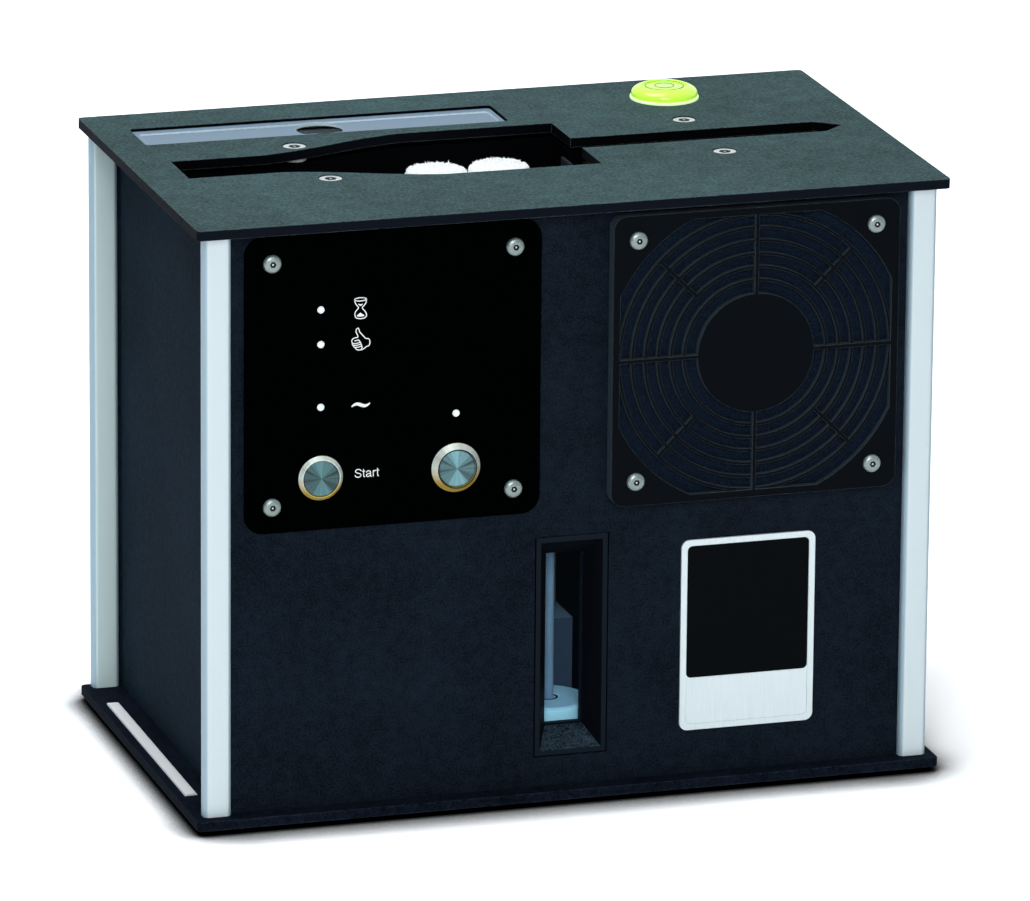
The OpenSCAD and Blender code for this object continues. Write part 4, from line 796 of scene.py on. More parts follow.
def round_corners(width: float, height: float, radius: float, steps: int = 8) -> np.ndarray:
    """Return the outline of a centred rectangle with quarter-round corners."""
    corners = ((1, 1, 0), (-1, 1, 90), (-1, -1, 180), (1, -1, 270))
    return np.vstack([arc((sx * (width / 2 - radius), sz * (height / 2 - radius)),
                          (radius, radius), start, start + 90, steps)
                      for sx, sz, start in corners])


def softened(path: Path, closed: bool = False, rounds: int = 2) -> np.ndarray:
    """Cut the corners of a path: each stretch keeps its points at a quarter and three quarters.

    Args:
        path: X and Z of its points.
        closed: Whether the end joins the start.
        rounds: How often the corners are cut.

    Returns:
        The points of the soft path.
    """
    points = np.array(path, dtype=float)
    for _ in range(rounds):
        after = np.roll(points, -1, axis=0)
        cut = np.stack([0.75 * points + 0.25 * after, 0.25 * points + 0.75 * after],
                       axis=1).reshape(-1, 2)
        points = cut if closed else np.vstack([points[:1], cut[1:-2], points[-1:]])
    return points


def left_of(path: np.ndarray, closed: bool) -> np.ndarray:
    """Return the unit normals to the left of a path: its direction turned by a quarter.

    Args:
        path: X and Z of its points.
        closed: Whether the end joins the start.

    Returns:
        One normal for each point.
    """
    ahead = (np.roll(path, -1, axis=0) - np.roll(path, 1, axis=0) if closed
             else np.gradient(path, axis=0))
    ahead /= np.linalg.norm(ahead, axis=1)[:, None]
    return np.stack([-ahead[:, 1], ahead[:, 0]], axis=-1)


def slab(outline: np.ndarray, centre: Pair, span: Pair, edge: float = 0.0) -> Mesh:
    """Raise an outline in X and Z into a plate that faces the front.

    The section steps in by the edge width at the front face, along the outline's own normals.

    Args:
        outline: X and Z of the outline, anticlockwise.
        centre: X and Z of its origin.
        span: Y of the front face and of the back face.
        edge: Width of the chamfer round the front face.

    Returns:
        The vertices in millimetres and the faces.
    """
    front, back = span
    steps = ((0.0, back), (0.0, front + edge), (edge, front)) if edge else (
        (0.0, back), (0.0, front))
    inward = left_of(outline, True)
    layers = [np.insert(outline + inward * inset + centre, 1, depth, axis=1)
              for inset, depth in steps]
    return np.vstack(layers), ring_quads(len(steps), len(outline), capped=True)


def ribbon(path: np.ndarray, width: float | np.ndarray, span: Pair, closed: bool = False) -> Mesh:
    """Carry a rectangular section along a path in X and Z, for a printed line.

    Each point gives four corners: path plus and minus half the width along the path's normal,
    at the front and at the back.

    Args:
        path: X and Z of the path.
        width: Width of the line, one value or one for each point.
        span: Y of its face and of its back.
        closed: Whether the end joins the start.

    Returns:
        The vertices in millimetres and the faces.
    """
    side = left_of(path, closed) * np.broadcast_to(width, (len(path),))[:, None] / 2
    (front, back), left, right = span, path + side, path - side
    corners = [np.insert(flat, 1, depth, axis=1) for flat, depth in (
        (left, front), (right, front), (right, back), (left, back))]
    return (np.stack(corners, axis=1).reshape(-1, 3),
            ring_quads(len(path), 4, closed, capped=not closed))


def soft_block(low: np.ndarray, high: np.ndarray, radius: float, crown: float, ripple: float,
               steps: int = 28) -> Mesh:
    """Make a soft block: a box with round edges, swelling faces and a slight ripple.

    Points of a cube's grid are held to an inner box, then pushed out along the line from it by
    the edge radius. The swell is crown times (1 - a^2)(1 - b^2) over each face, and the ripple
    is a sine of 0.9 x + 0.5 y + 1.3 sin(0.7 z).

    Args:
        low: Lowest corner in millimetres.
        high: Highest corner.
        radius: Radius of the edges.
        crown: How far the middle of a face swells.
        ripple: Height of the uneven surface.
        steps: Cells along an edge.

    Returns:
        The vertices and the faces.
    """
    half = (high - low) / 2 - crown - ripple
    line = np.sin(np.linspace(-math.pi / 2, math.pi / 2, steps + 1))
    a, b = np.meshgrid(line, line, indexing="ij")
    swell = crown * (1 - a ** 2) * (1 - b ** 2)
    grid = np.arange(a.size).reshape(a.shape)
    quads = np.stack([grid[:-1, :-1], grid[1:, :-1], grid[1:, 1:], grid[:-1, 1:]],
                     axis=-1).reshape(-1, 4).tolist()
    sides = []
    for axis in Axis:
        for sign in (-1.0, 1.0):
            unit = np.roll(np.stack([np.full_like(a, sign), a, b], axis=-1), axis.value, axis=-1)
            point = unit * half
            inner = np.clip(point, -(half - radius), half - radius)
            out = point - inner
            out /= np.linalg.norm(out, axis=-1)[..., None]
            wave = ripple * np.sin(point[..., 0] * 0.9 + 1.3 * np.sin(point[..., 2] * 0.7)
                                   + point[..., 1] * 0.5)
            sides.append(((inner + out * (radius + swell + wave)[..., None]).reshape(-1, 3),
                          quads))
    verts, faces = joined(sides)
    return verts + (low + high) / 2, faces


@dataclass
class SubAssembly:
    """A group of the machine's nodes with its new pieces.

    Each row of COATS is a finish, the radius of the rounded edges and the nodes that get them.
    """

    bench: Bench

    COATS = ()

    def build(self) -> None:
        """Dress the nodes of the table, then make the pieces of the class."""
        for finish, edge, *nodes in self.COATS:
            for node in nodes:
                self.bench.dress(node, finish, edge)
        self.shape()

    def shape(self) -> None:
        """Make the new pieces, in a class that has any."""


@dataclass
class Casing(SubAssembly):
    """Plates, panels, posts, feet, side strip and badge."""

    COATS = (("slate_plate", 0.35, "base_plate"), ("top_finish", 0.35, "top_plate"),
             ("navy_panel", 0.3, "front_panel", "rear_panel"),
             ("side_panel", 0.3, "left_panel", "right_panel"),
             ("post_metal", 0.3, "post_front_left", "post_front_right", "post_rear_right"),
             ("post_painted_light", 0.3, "post_rear_left"), ("rubber_black", 0.0, "rubber_feet"),
             ("strip_metal", 0.0, "side_strip"), ("badge_metal", 0.15, "badge_plate"))
    badge_rim: float = 2.7
    field_depth: float = 0.4
    inlay_t: float = 0.25
    inlay_gap: float = 0.15
    inlay_r: float = 2.0
    inlay_edge: float = 0.1
    inlay_share: float = 0.26

    def shape(self) -> None:
        """Lay two plain plates into the field of the badge: a black one over a bright one."""
        low, high = self.bench.box("badge_plate")
        rim = self.badge_rim + self.inlay_gap
        width, _, height = high - low - 2 * rim
        field = low[1] + self.field_depth
        split = self.inlay_share * height
        for name, foot, tall, finish, slot in (
                ("badge_inlay", split, height - split, "badge_black", "control_black"),
                ("badge_band", 0.0, split - self.inlay_gap, "badge_metal", "badge_metal")):
            plate = slab(round_corners(width, tall, self.inlay_r),
                         ((low[0] + high[0]) / 2, low[2] + rim + foot + tall / 2),
                         (field - self.inlay_t, field), self.inlay_edge)
            self.bench.piece(name, plate, finish, slot)


@dataclass
class ControlPanel(SubAssembly):
    """Control plate with its buttons, lights, pictograms and word."""

    COATS = (("control_black", 0.2, "control_plate"), ("screw_steel", 0.12, "front_screws"),
             ("light_white", 0.0, "indicator_lights"), ("board_green", 0.0, "control_board"))
    print_t: float = 0.06
    line_w: float = 0.42
    start_colour: Colour = (0.074, 0.168, 0.178)
    power_colour: Colour = (0.140, 0.290, 0.320)
    bezel_colour: Colour = (0.78, 0.86, 0.78)
    # Painted reflection of warm light on the lower part of each bezel.
    painted_gold_reflection: Colour = (0.62, 0.43, 0.08)
    bezel_edge: float = 0.15
    cap_edge: float = 0.2
    word_low: Pair = (-94.9, 149.7)
    word_em: float = 5.2
    stroke_em: float = 0.072
    hourglass_at: Pair = (-92.4, 223.1)
    thumb_at: Pair = (-92.2, 209.6)
    tilde_at: Pair = (-92.1, 181.2)
    tilde_half: float = 4.0
    tilde_wave: float = 0.75
    tilde_rise: float = 0.55
    tilde_w: Pair = (1.35, 0.12)
    tilde_taper: float = 0.72
    screw_pitch: float = 105.0
    screw_h: float = 1.9
    socket_in: float = 0.3
    socket_t: float = 0.1
    # Sizes of the dark discs of painted shade and the bright points of painted highlight in the
    # front screw sockets.
    shade_disc_r: float = 1.35
    glint_r: float = 0.4
    glint_rise: float = 0.05
    groove_r: Pair = (0.17, 0.62)

    def shape(self) -> None:
        """Lay painted shade and highlights into the screw sockets, dress the buttons and print the
        signs.
        """
        self.sockets()
        for side, colour in (("start", self.start_colour), ("power", self.power_colour)):
            centre = tuple(float(value) for value in self.bench.middle(side + "_button"))
            # Bezels carry a painted warm reflection under their centre; bezels and caps carry
            # painted highlights from the turned pattern.
            bezel = Finish(side + "_bezel_metal", self.bezel_colour, 0.35, 0.3, 0.25, 0.002,
                           metal=0.35, pattern=Pattern.TURNED, centre=centre, turn=FACE_FRONT,
                           low=self.painted_gold_reflection)
            cap = Finish(side + "_cap_metal", colour, 0.45, 0.35, 0.95, 0.003, metal=0.3,
                         pattern=Pattern.TURNED, centre=centre, turn=FACE_FRONT)
            self.bench.dress(side + "_bezel", bezel, self.bezel_edge)
            self.bench.dress(side + "_button", cap, self.cap_edge)
        self.groove()
        face = float(self.bench.box("control_plate")[0][1])
        for name, sign in (("hourglass", self.hourglass), ("thumb", self.thumb),
                           ("tilde", self.tilde), ("start", self.word)):
            self.bench.piece("print_" + name, sign((face - self.print_t, face)), "print_white",
                             "light_white")

    def groove(self) -> None:
        """Lay the dark ring that parts the power button from its bezel."""
        low, high = self.bench.box("power_button")
        x, _, z = (low + high) / 2
        cap_r = (high[0] - low[0]) / 2
        front = self.bench.box("power_bezel")[0][1]
        ring = tube((cap_r + self.groove_r[0], cap_r + self.groove_r[1]), (0.0, self.print_t),
                    (x, front - self.print_t / 2, z), Axis.Y, 64)
        self.bench.piece("power_groove", ring, "socket_black", "bezel_metal")

    def sockets(self) -> None:
        """Lay a dark disc of painted shade and a bright point of painted highlight into each front
        screw socket.
        """
        reach = self.screw_pitch / 2
        places = []
        for plate in ("control_plate", "fan_guard"):
            x, _, z = self.bench.middle(plate)
            face = self.bench.box(plate)[0][1] - self.screw_h + self.socket_in
            places += [(x + sx * reach, face, z + sz * reach)
                       for sx in (-1, 1) for sz in (-1, 1)]
        # A disc of painted shade in each socket, and a point of painted highlight on it.
        for name, radius, rise, finish in (
                ("screw_socket_shade", self.shade_disc_r, 0.0, "socket_black"),
                ("screw_socket_glints", self.glint_r, self.glint_rise, "top_screw_steel")):
            discs = joined(tube((0.0, radius), (0.0, self.socket_t), (x, y - rise, z), Axis.Y, 24)
                           for x, y, z in places)
            self.bench.piece(name, discs, finish, "screw_steel")

    def lines(self, paths: Iterable[tuple[Path, bool]], middle: Pair, span: Pair) -> list[Mesh]:
        """Return printed lines along soft paths, each with whether it is closed."""
        return [ribbon(softened(path, closed) + middle, self.line_w, span, closed)
                for path, closed in paths]

    def hourglass(self, span: Pair) -> Mesh:
        """Return an hourglass: a rim ellipse, two bulbs and their sand.

        Args:
            span: Y of its face and of its back.

        Returns:
            The vertices in millimetres and the faces.
        """
        middle = self.hourglass_at
        rim = arc((-0.03, 3.66), (2.54, 0.71), 0, 360, 41)[:-1] + middle
        left = [(-2.45, 3.66), (-2.39, 2.43), (-1.82, 1.42), (-0.62, 0.09), (-1.68, -0.92),
                (-2.37, -1.82), (-2.43, -3.19), (-2.09, -4.04), (-1.4, -4.44), (-0.03, -4.66)]
        right = [(2.48, 3.44), (2.45, 2.14), (1.76, 1.11), (0.55, -0.02), (1.62, -1.21),
                 (2.45, -2.24), (2.65, -3.35), (2.35, -4.1), (1.6, -4.55), (-0.03, -4.66)]
        upper = [(-1.33, 1.99), (0.04, 0.5), (1.35, 1.83), (-0.03, 1.47)]
        heap = [(-1.75, -3.38), (-1.0, -3.7), (0.0, -3.8), (1.76, -3.62), (1.5, -3.05),
                (0.66, -2.63), (0.11, -2.05), (-0.3, -2.28), (-1.13, -2.89)]
        return joined((ribbon(rim, self.line_w, span, True),
                       *self.lines(((left, False), (right, False)), middle, span),
                       *(slab(softened(sand, True, 1), middle, span) for sand in (upper, heap))))

    def thumb(self, span: Pair) -> Mesh:
        """Return a raised thumb in outline, with four finger lines.

        Args:
            span: Y of its face and of its back.

        Returns:
            The vertices in millimetres and the faces.
        """
        hand = [(-1.17, 0.99), (-1.38, 1.76), (-1.86, 2.76), (-2.16, 3.47), (-2.06, 4.15),
                (-1.65, 4.73), (-1.1, 4.89), (-0.83, 4.39), (-0.69, 3.62), (-0.34, 2.91),
                (0.48, 2.01), (1.31, 1.05), (1.93, 0.31), (2.54, 0.05), (3.44, 0.04),
                (3.85, -0.74), (3.95, -1.71), (3.78, -2.66), (3.37, -3.17), (2.54, -3.23),
                (1.72, -3.92), (0.89, -4.46), (-0.07, -4.65), (-1.44, -4.6), (-2.06, -4.07),
                (-3.03, -3.03), (-3.65, -2.15), (-3.71, -1.46), (-3.99, -0.48), (-3.71, 0.18),
                (-2.96, 0.67), (-1.99, 0.79)]
        folds = (
            [(-2.75, -0.58), (-1.86, -0.46), (-1.17, -0.17), (-0.55, -0.64), (-0.32, -1.21),
             (-0.89, -1.46), (-1.86, -1.73), (-2.82, -1.77), (-3.67, -1.49)],
            [(-0.32, -1.21), (0.07, -1.72), (-0.04, -2.12), (-0.76, -2.26), (-1.58, -2.6),
             (-2.41, -2.56), (-3.44, -2.3)],
            [(0.0, -2.19), (0.45, -2.71), (0.28, -2.97), (-0.48, -3.22), (-1.44, -3.46),
             (-2.34, -3.29)],
            [(0.34, -3.07), (0.7, -3.69), (0.07, -4.42)])
        paths = [(hand, True), *((fold, False) for fold in folds)]
        return joined(self.lines(paths, self.thumb_at, span))

    def tilde(self, span: Pair) -> Mesh:
        """Return a wave sign: a sine line on a slope, thick in its middle.

        At share s from -1 to 1, its point is (4 s, 0.55 s - 0.75 sin(pi s)) and its width
        1.35 (1 - 0.72 s^2) + 0.12, by the fields' values.

        Args:
            span: Y of its face and of its back.

        Returns:
            The vertices in millimetres and the faces.
        """
        run = np.linspace(-1.0, 1.0, 33)
        path = np.stack([run * self.tilde_half, run * self.tilde_rise
                         - self.tilde_wave * np.sin(run * math.pi)], axis=-1)
        thick, thin = self.tilde_w
        width = thick * (1.0 - self.tilde_taper * run ** 2) + thin
        return ribbon(path + self.tilde_at, width, span)

    def word(self, span: Pair) -> Mesh:
        """Return the word of the start button in plain strokes, letter by letter.

        A letter has its strokes and its advance, all in shares of the type size.

        Args:
            span: Y of its face and of its back.

        Returns:
            The vertices in millimetres and the faces.
        """
        tee = (([(0.13, 0.67), (0.13, 0.10), (0.17, 0.03), (0.25, 0.03)],
                [(0.02, 0.50), (0.25, 0.50)]), 0.278)
        ess = (([(0.60, 0.52), (0.55, 0.62), (0.44, 0.68), (0.33, 0.69), (0.20, 0.66),
                 (0.12, 0.58), (0.12, 0.50), (0.20, 0.42), (0.33, 0.37), (0.47, 0.33),
                 (0.58, 0.25), (0.58, 0.15), (0.50, 0.06), (0.35, 0.025), (0.20, 0.05),
                 (0.11, 0.12), (0.08, 0.22)],), 0.667)
        aye = (([(0.08, 0.38), (0.14, 0.48), (0.27, 0.51), (0.40, 0.47), (0.43, 0.38),
                 (0.43, 0.10), (0.46, 0.03), (0.53, 0.03)],
                [(0.43, 0.30), (0.20, 0.26), (0.09, 0.20), (0.08, 0.11), (0.16, 0.03),
                 (0.30, 0.04), (0.43, 0.14)]), 0.556)
        arr = (([(0.10, 0.0), (0.10, 0.53)],
                [(0.10, 0.34), (0.15, 0.45), (0.24, 0.50), (0.33, 0.49)]), 0.333)
        parts, pen = [], 0.0
        for strokes, advance in (ess, tee, aye, arr, tee):
            for stroke in strokes:
                path = softened(stroke) if len(stroke) > 2 else np.array(stroke)
                flat = (path + (pen, 0.0)) * self.word_em + self.word_low
                parts.append(ribbon(flat, self.stroke_em * self.word_em, span))
            pen += advance
        return joined(parts)


@dataclass
class DryingFan(SubAssembly):
    """Fan, its guard and the foam sheet behind the guard."""

    COATS = (("guard_black", 0.18, "fan_guard"), ("fan_black", 0.3, "fan_frame"),
             ("fan_black", 0.0, "fan_rotor"))
    sheet_rings: int = 40
    sheet_around: int = 160
    corner_cut: float = 100.5
    hole_share: float = 0.02
    rim_steps: int = 7
    rim_bend: float = 80.0
    skin: float = 0.15
    ripple: float = 0.12

    def shape(self) -> None:
        """Lay the foam into the guard."""
        foam = self.bench.piece("guard_foam", self.sheet(*self.bench.box("guard_filter")),
                                "foam_navy", "foam_navy", replaces=("guard_filter",), smooth=True)

    def sheet(self, low: np.ndarray, high: np.ndarray) -> Mesh:
        """Return the foam sheet: a square with cut corners, on rings from its middle.

        The radius of the outline at angle t is the nearest of the two straight sides and the
        slanted corner. A point at share s of it lies at the middle plus s times that radius. The
        faces ripple a little, and the edge is half round.

        Args:
            low: Lowest corner of the space in millimetres.
            high: Highest corner.

        Returns:
            The vertices and the faces.
        """
        half, thick = (high[0] - low[0]) / 2, high[1] - low[1]
        turn = circle(self.sheet_around)
        cosine, sine = np.abs(np.cos(turn)), np.abs(np.sin(turn))
        reach = np.minimum(half / np.maximum(cosine, sine), self.corner_cut / (cosine + sine))
        share = np.linspace(self.hole_share, 1.0, self.sheet_rings)[:-1]
        bend = np.radians(np.linspace(self.rim_bend, -self.rim_bend, self.rim_steps))
        flat = np.ones_like(share)
        out = np.concatenate([share, np.ones_like(bend), share[::-1]])[:, None]
        side = np.concatenate([flat, np.sin(bend), -flat])[:, None]
        pull = np.concatenate([0 * flat, (1 - np.cos(bend)) * thick / 2, 0 * flat])[:, None]
        radius = out * (reach - pull)
        x, z = radius * np.cos(turn), radius * np.sin(turn)
        ripple = self.ripple * np.sin(x * 0.31 + np.sin(z * 0.23) * 2.0) * np.cos(z * 0.27)
        y = -side * (thick / 2 - self.skin + ripple)
        verts = np.stack([x, y, z], axis=-1).reshape(-1, 3) + (low + high) / 2
        return verts, ring_quads(len(out), self.sheet_around, capped=True)


@dataclass
class SightWindow(SubAssembly):
    """Window frame, glass, float and rod."""

    COATS = (("window_dark", 0.15, "window_frame"), ("clear_glass", 0.0, "window_glass"),
             ("rod_pale", 0.0, "float_rod"), ("float_white", 0.5, "tank_float"))
    collar_r: Pair = (2.5, 5.15)
    collar_h: Pair = (-1.9, -0.3)
    # Ring of painted shade on the float's top, where the sink's edge falls into shade.
    shade_ring_r: Pair = (3.3, 4.2)
    ring_h: Pair = (-0.3, -0.1)

    def shape(self) -> None:
        """Close the hollow round the rod in the float's top and lay a ring of painted shade on it.
        """
        low, high = self.bench.box("tank_float")
        middle = ((low[0] + high[0]) / 2, (low[1] + high[1]) / 2, high[2])
        for name, radii, heights, finish in (
                ("float_collar", self.collar_r, self.collar_h, "float_white"),
                ("float_shade_ring", self.shade_ring_r, self.ring_h, "float_painted_shade")):
            self.bench.piece(name, tube(radii, heights, middle), finish, "float_white", "float")


@dataclass
class WaterCircuit(SubAssembly):
    """Tank, pump, pipes, plug and inlet."""

    COATS = (("tank_grey", 0.3, "water_tank"), ("rubber_black", 0.3, "drain_plug"),
             ("deck_grey", 0.0, "chassis_deck"), ("pump_grey", 0.5, "pump_body"),
             ("nylon_white", 0.0, "pump_impeller"), ("hose_clear", 0.0, "water_hoses"),
             ("moulded_black", 0.2, "power_inlet"))


@dataclass
class BarrelBath(SubAssembly):
    """Basin with its cleaning barrels, rollers, lips and drives."""

    BARRELS = ("front_left", "front_right", "rear_left", "rear_right")
    COATS = (("basin_dark", 0.3, "wash_basin"), ("nylon_white", 0.0, "basin_spacers"),
             ("top_screw_steel", 0.12, "top_screws"), ("rubber_black", 0.0, "spindle_seals"),
             ("motor_steel", 0.3, "transducer", "drive_motor", "roller_motor"),
             ("brass_gear", 0.0, "drive_gear"), ("gear_nylon", 0.2, "drive_roller", "idle_roller"),
             ("gear_nylon", 0.0, *("spindle_" + place for place in BARRELS)))
    SHOULDER = ((0.0, 3.4), (0.5, 2.3), (1.6, 1.6), (4.0, 1.3))
    TUFT_FACES = ([0, 1, 4, 3], [1, 2, 5, 4], [2, 0, 3, 5],
                  [3, 4, 6], [4, 5, 6], [5, 3, 6], [2, 1, 0])
    pile_r: float = 13.9
    pile_foot: float = 0.1
    core_r: float = 11.4
    bore_r: float = 7.15
    bore_drop: float = 4.35
    hub_r: float = 0.5
    hub_drop: float = 1.2
    side_tufts: int = 2600
    top_tufts: int = 1300
    tuft_l: float = 1.9
    tuft_r: float = 0.40
    tuft_l_spread: Pair = (0.7, 1.1)
    tuft_r_spread: Pair = (0.75, 1.25)
    tuft_stations: tuple[Pair, ...] = ((0.0, 1.0), (0.55, 1.15))
    tuft_root: float = 0.5
    tuft_level: Pair = (0.6, 3.2)
    tuft_lean: float = 0.42
    tuft_bend: float = 0.45
    side_lumps: int = 900
    top_lumps: int = 560
    lump_r: Pair = (0.8, 1.7)
    lump_out: Pair = (0.2, 1.0)
    lump_level: Pair = (1.2, 2.4)
    lump_uneven: Pair = (0.85, 1.12)
    lump_top_out: float = 0.4
    lump_sink: float = 0.35
    lump_top_gap: float = 0.05
    dome_drop: Pair = (1.1, 0.9)
    core_chamfer: float = 0.6
    screw_r: float = 4.9
    # Sizes of the painted shade in each top screw's socket, its painted highlight bar and the
    # painted shadow in the gap round its head.
    shade_disc_r: float = 2.7
    glint_bar_r: float = 0.7
    gap_shadow_r: Pair = (0.02, 0.38)
    mark_t: float = 0.1
    lip_gap: float = 3.2
    lip_t: Pair = (0.7, 0.25)
    lip_wave: float = 0.12
    lip_rows: int = 60
    lip_steps: int = 12
    seed: int = 20

    def shape(self) -> None:
        """Paint shade and highlights onto the screws and make the pile of the barrels and the
        lips.
        """
        self.sockets()
        for place in self.BARRELS:
            self.barrel(place)
        self.lips()

    def sockets(self) -> None:
        """Paint shade into the hex socket of each top screw, a highlight bar across it and a
        shadow in the gap round its head.
        """
        low, high = self.bench.box("top_screws")
        reach = self.screw_r
        # Painted shade in the socket, a painted highlight bar across it, painted shadow in the gap
        # round the head.
        for name, radii, rise, around, finish in (
                ("top_socket_shade", (0.0, self.shade_disc_r), 0.03, 6, "socket_black"),
                ("top_socket_glints", (0.0, self.glint_bar_r), 0.06, 4, "top_screw_steel"),
                ("top_gap_shadow", (reach + self.gap_shadow_r[0], reach + self.gap_shadow_r[1]), 0.0, 48,
                 "socket_black")):
            marks = joined(
                tube(radii, (rise - self.mark_t, rise), (x, y, high[2]), Axis.Z, around)
                for x in (low[0] + reach, high[0] - reach)
                for y in (low[1] + reach, high[1] - reach))
            self.bench.piece(name, marks, finish, "screw_steel")

    def barrel(self, place: str) -> None:
        """Make one barrel: a soft core with lumps and tufts all round and on its top.

        Args:
            place: Which barrel, as in its node's name.
        """
        low, high = self.bench.box("barrel_" + place)
        height = high[2] - low[2]
        foot = np.array([(low[0] + high[0]) / 2, (low[1] + high[1]) / 2, low[2]])
        seed = self.seed + len(place) + (7 if "rear" in place else 0)
        core = lathe([(self.bore_r, 0.0), (self.core_r - self.core_chamfer, 0.0),
                      (self.core_r, self.core_chamfer),
                      *((self.core_r - inset, height - drop) for inset, drop in self.SHOULDER),
                      (self.hub_r, height - self.hub_drop), (self.hub_r, height - self.bore_drop),
                      (self.bore_r, height - self.bore_drop)], foot)
        pile = joined((core, self.tufts(foot, height, seed), self.lumps(foot, height, seed + 50)))
        self.bench.piece("pile_" + place, pile, "pile_white", "pile_white", "brush_" + place,
                         ("barrel_" + place,), smooth=True)

    def dome(self, spread: np.ndarray, height: float) -> np.ndarray:
        """Return the height of the pile's top at distances from the barrel's axis."""
        return height - self.dome_drop[0] - self.dome_drop[1] * (spread / self.core_r) ** 4

    def held(self, points: np.ndarray, top: float) -> np.ndarray:
        """Draw points in to the pile's radius and hold them between its foot and a top.

        Args:
            points: The points, about the barrel's axis.
            top: Highest place of a point.

        Returns:
            The points, one row each.
        """
        flat = points.reshape(-1, 3)
        radius = np.linalg.norm(flat[:, :2], axis=1)
        flat[:, :2] *= np.minimum(1.0, self.pile_r / np.maximum(radius, 1e-6))[:, None]
        flat[:, 2] = np.clip(flat[:, 2], self.pile_foot, top)
        return flat

    def lumps(self, foot: np.ndarray, height: float, seed: int) -> Mesh:
        """Return the cotton lumps of a barrel, each an uneven ball of 26 corners.

        A lump has its middle c and radius r. Its corner is c + r j n, where n is the corner's
        direction from the middle and j a random factor near one. All are worked out together.

        Args:
            foot: Middle of the barrel's lower end, in millimetres.
            height: Height of the barrel.
            seed: Seed of the random draws.

        Returns:
            The vertices and the faces.
        """
        draw = np.random.default_rng(seed)
        turn = draw.uniform(0.0, ROUND, self.side_lumps + self.top_lumps)
        spread = np.concatenate([
            self.core_r + draw.uniform(*self.lump_out, self.side_lumps),
            (self.core_r + self.lump_top_out)
            * np.sqrt(draw.uniform(0.0, 1.0, self.top_lumps))])
        level = np.concatenate([
            draw.uniform(self.lump_level[0], height - self.lump_level[1], self.side_lumps),
            self.dome(spread[self.side_lumps:], height) - self.lump_sink])
        middle = polar(spread, turn, level)[:, None]
        rise = np.radians([-60.0, -20.0, 20.0, 60.0])[:, None]
        ball = np.vstack([polar(np.cos(rise), circle(6), np.sin(rise)).reshape(-1, 3),
                          [[0.0, 0.0, -1.0], [0.0, 0.0, 1.0]]])
        count, stride = len(middle), len(ball)
        size = draw.uniform(*self.lump_r, count)[:, None, None]
        uneven = draw.uniform(*self.lump_uneven, (count, stride, 1))
        verts = self.held(middle + ball * size * uneven, height - self.lump_top_gap)
        caps = [[24, (step + 1) % 6, step] for step in range(6)]
        caps += [[25, 18 + step, 18 + (step + 1) % 6] for step in range(6)]
        return verts + foot, copies(ring_quads(4, 6), count, stride) + copies(caps, count, stride)

    def tufts(self, foot: np.ndarray, height: float, seed: int) -> Mesh:
        """Return all tufts of a barrel as small bent three-sided spikes.

        A tuft has its root p, direction d, length l and bend b. Its point at share s is
        p + d l s + b s^2, with three corners round it at the tuft's radius, up to its tip. All
        tufts are worked out together.

        Args:
            foot: Middle of the barrel's lower end, in millimetres.
            height: Height of the barrel.
            seed: Seed of the random draws.

        Returns:
            The vertices and the faces.
        """
        draw = np.random.default_rng(seed)
        turn = draw.uniform(0.0, ROUND, self.side_tufts)
        level = draw.uniform(self.tuft_level[0], height - self.tuft_level[1], self.side_tufts)
        side_way = polar(1.0, turn, 0.0) + draw.normal(0.0, self.tuft_lean, (self.side_tufts, 3))
        spin = draw.uniform(0.0, ROUND, self.top_tufts)
        spread = self.core_r * np.sqrt(draw.uniform(0.0, 1.0, self.top_tufts))
        lean = 0.25 + 0.9 * (spread / self.core_r) ** 3
        top_way = polar(lean, spin, 1.0) + draw.normal(0.0, self.tuft_lean, (self.top_tufts, 3))
        root = np.vstack([polar(self.core_r - self.tuft_root, turn, level),
                          polar(spread, spin, self.dome(spread, height) - self.tuft_root)])
        way = np.vstack([side_way, top_way])
        way /= np.linalg.norm(way, axis=1)[:, None]
        count = len(root)
        length = self.tuft_l * draw.uniform(*self.tuft_l_spread, count)[:, None]
        bend = draw.normal(0.0, self.tuft_bend, (count, 3))
        thick = self.tuft_r * draw.uniform(*self.tuft_r_spread, count)[:, None]
        helper = np.where(np.abs(way[:, 2:3]) > 0.9, [[1.0, 0.0, 0.0]], [[0.0, 0.0, 1.0]])
        u = np.cross(way, helper)
        u /= np.linalg.norm(u, axis=1)[:, None]
        v = np.cross(way, u)
        corners = [root + way * length * share + bend * share ** 2
                   + (u * math.cos(angle) + v * math.sin(angle)) * thick * size
                   for share, size in self.tuft_stations for angle in circle(3)]
        corners.append(root + way * length + bend)
        verts = self.held(np.stack(corners, axis=1), math.inf)
        faces = [face for pattern in self.TUFT_FACES
                 for face in copies([pattern], count, len(corners))]
        return verts + foot, faces

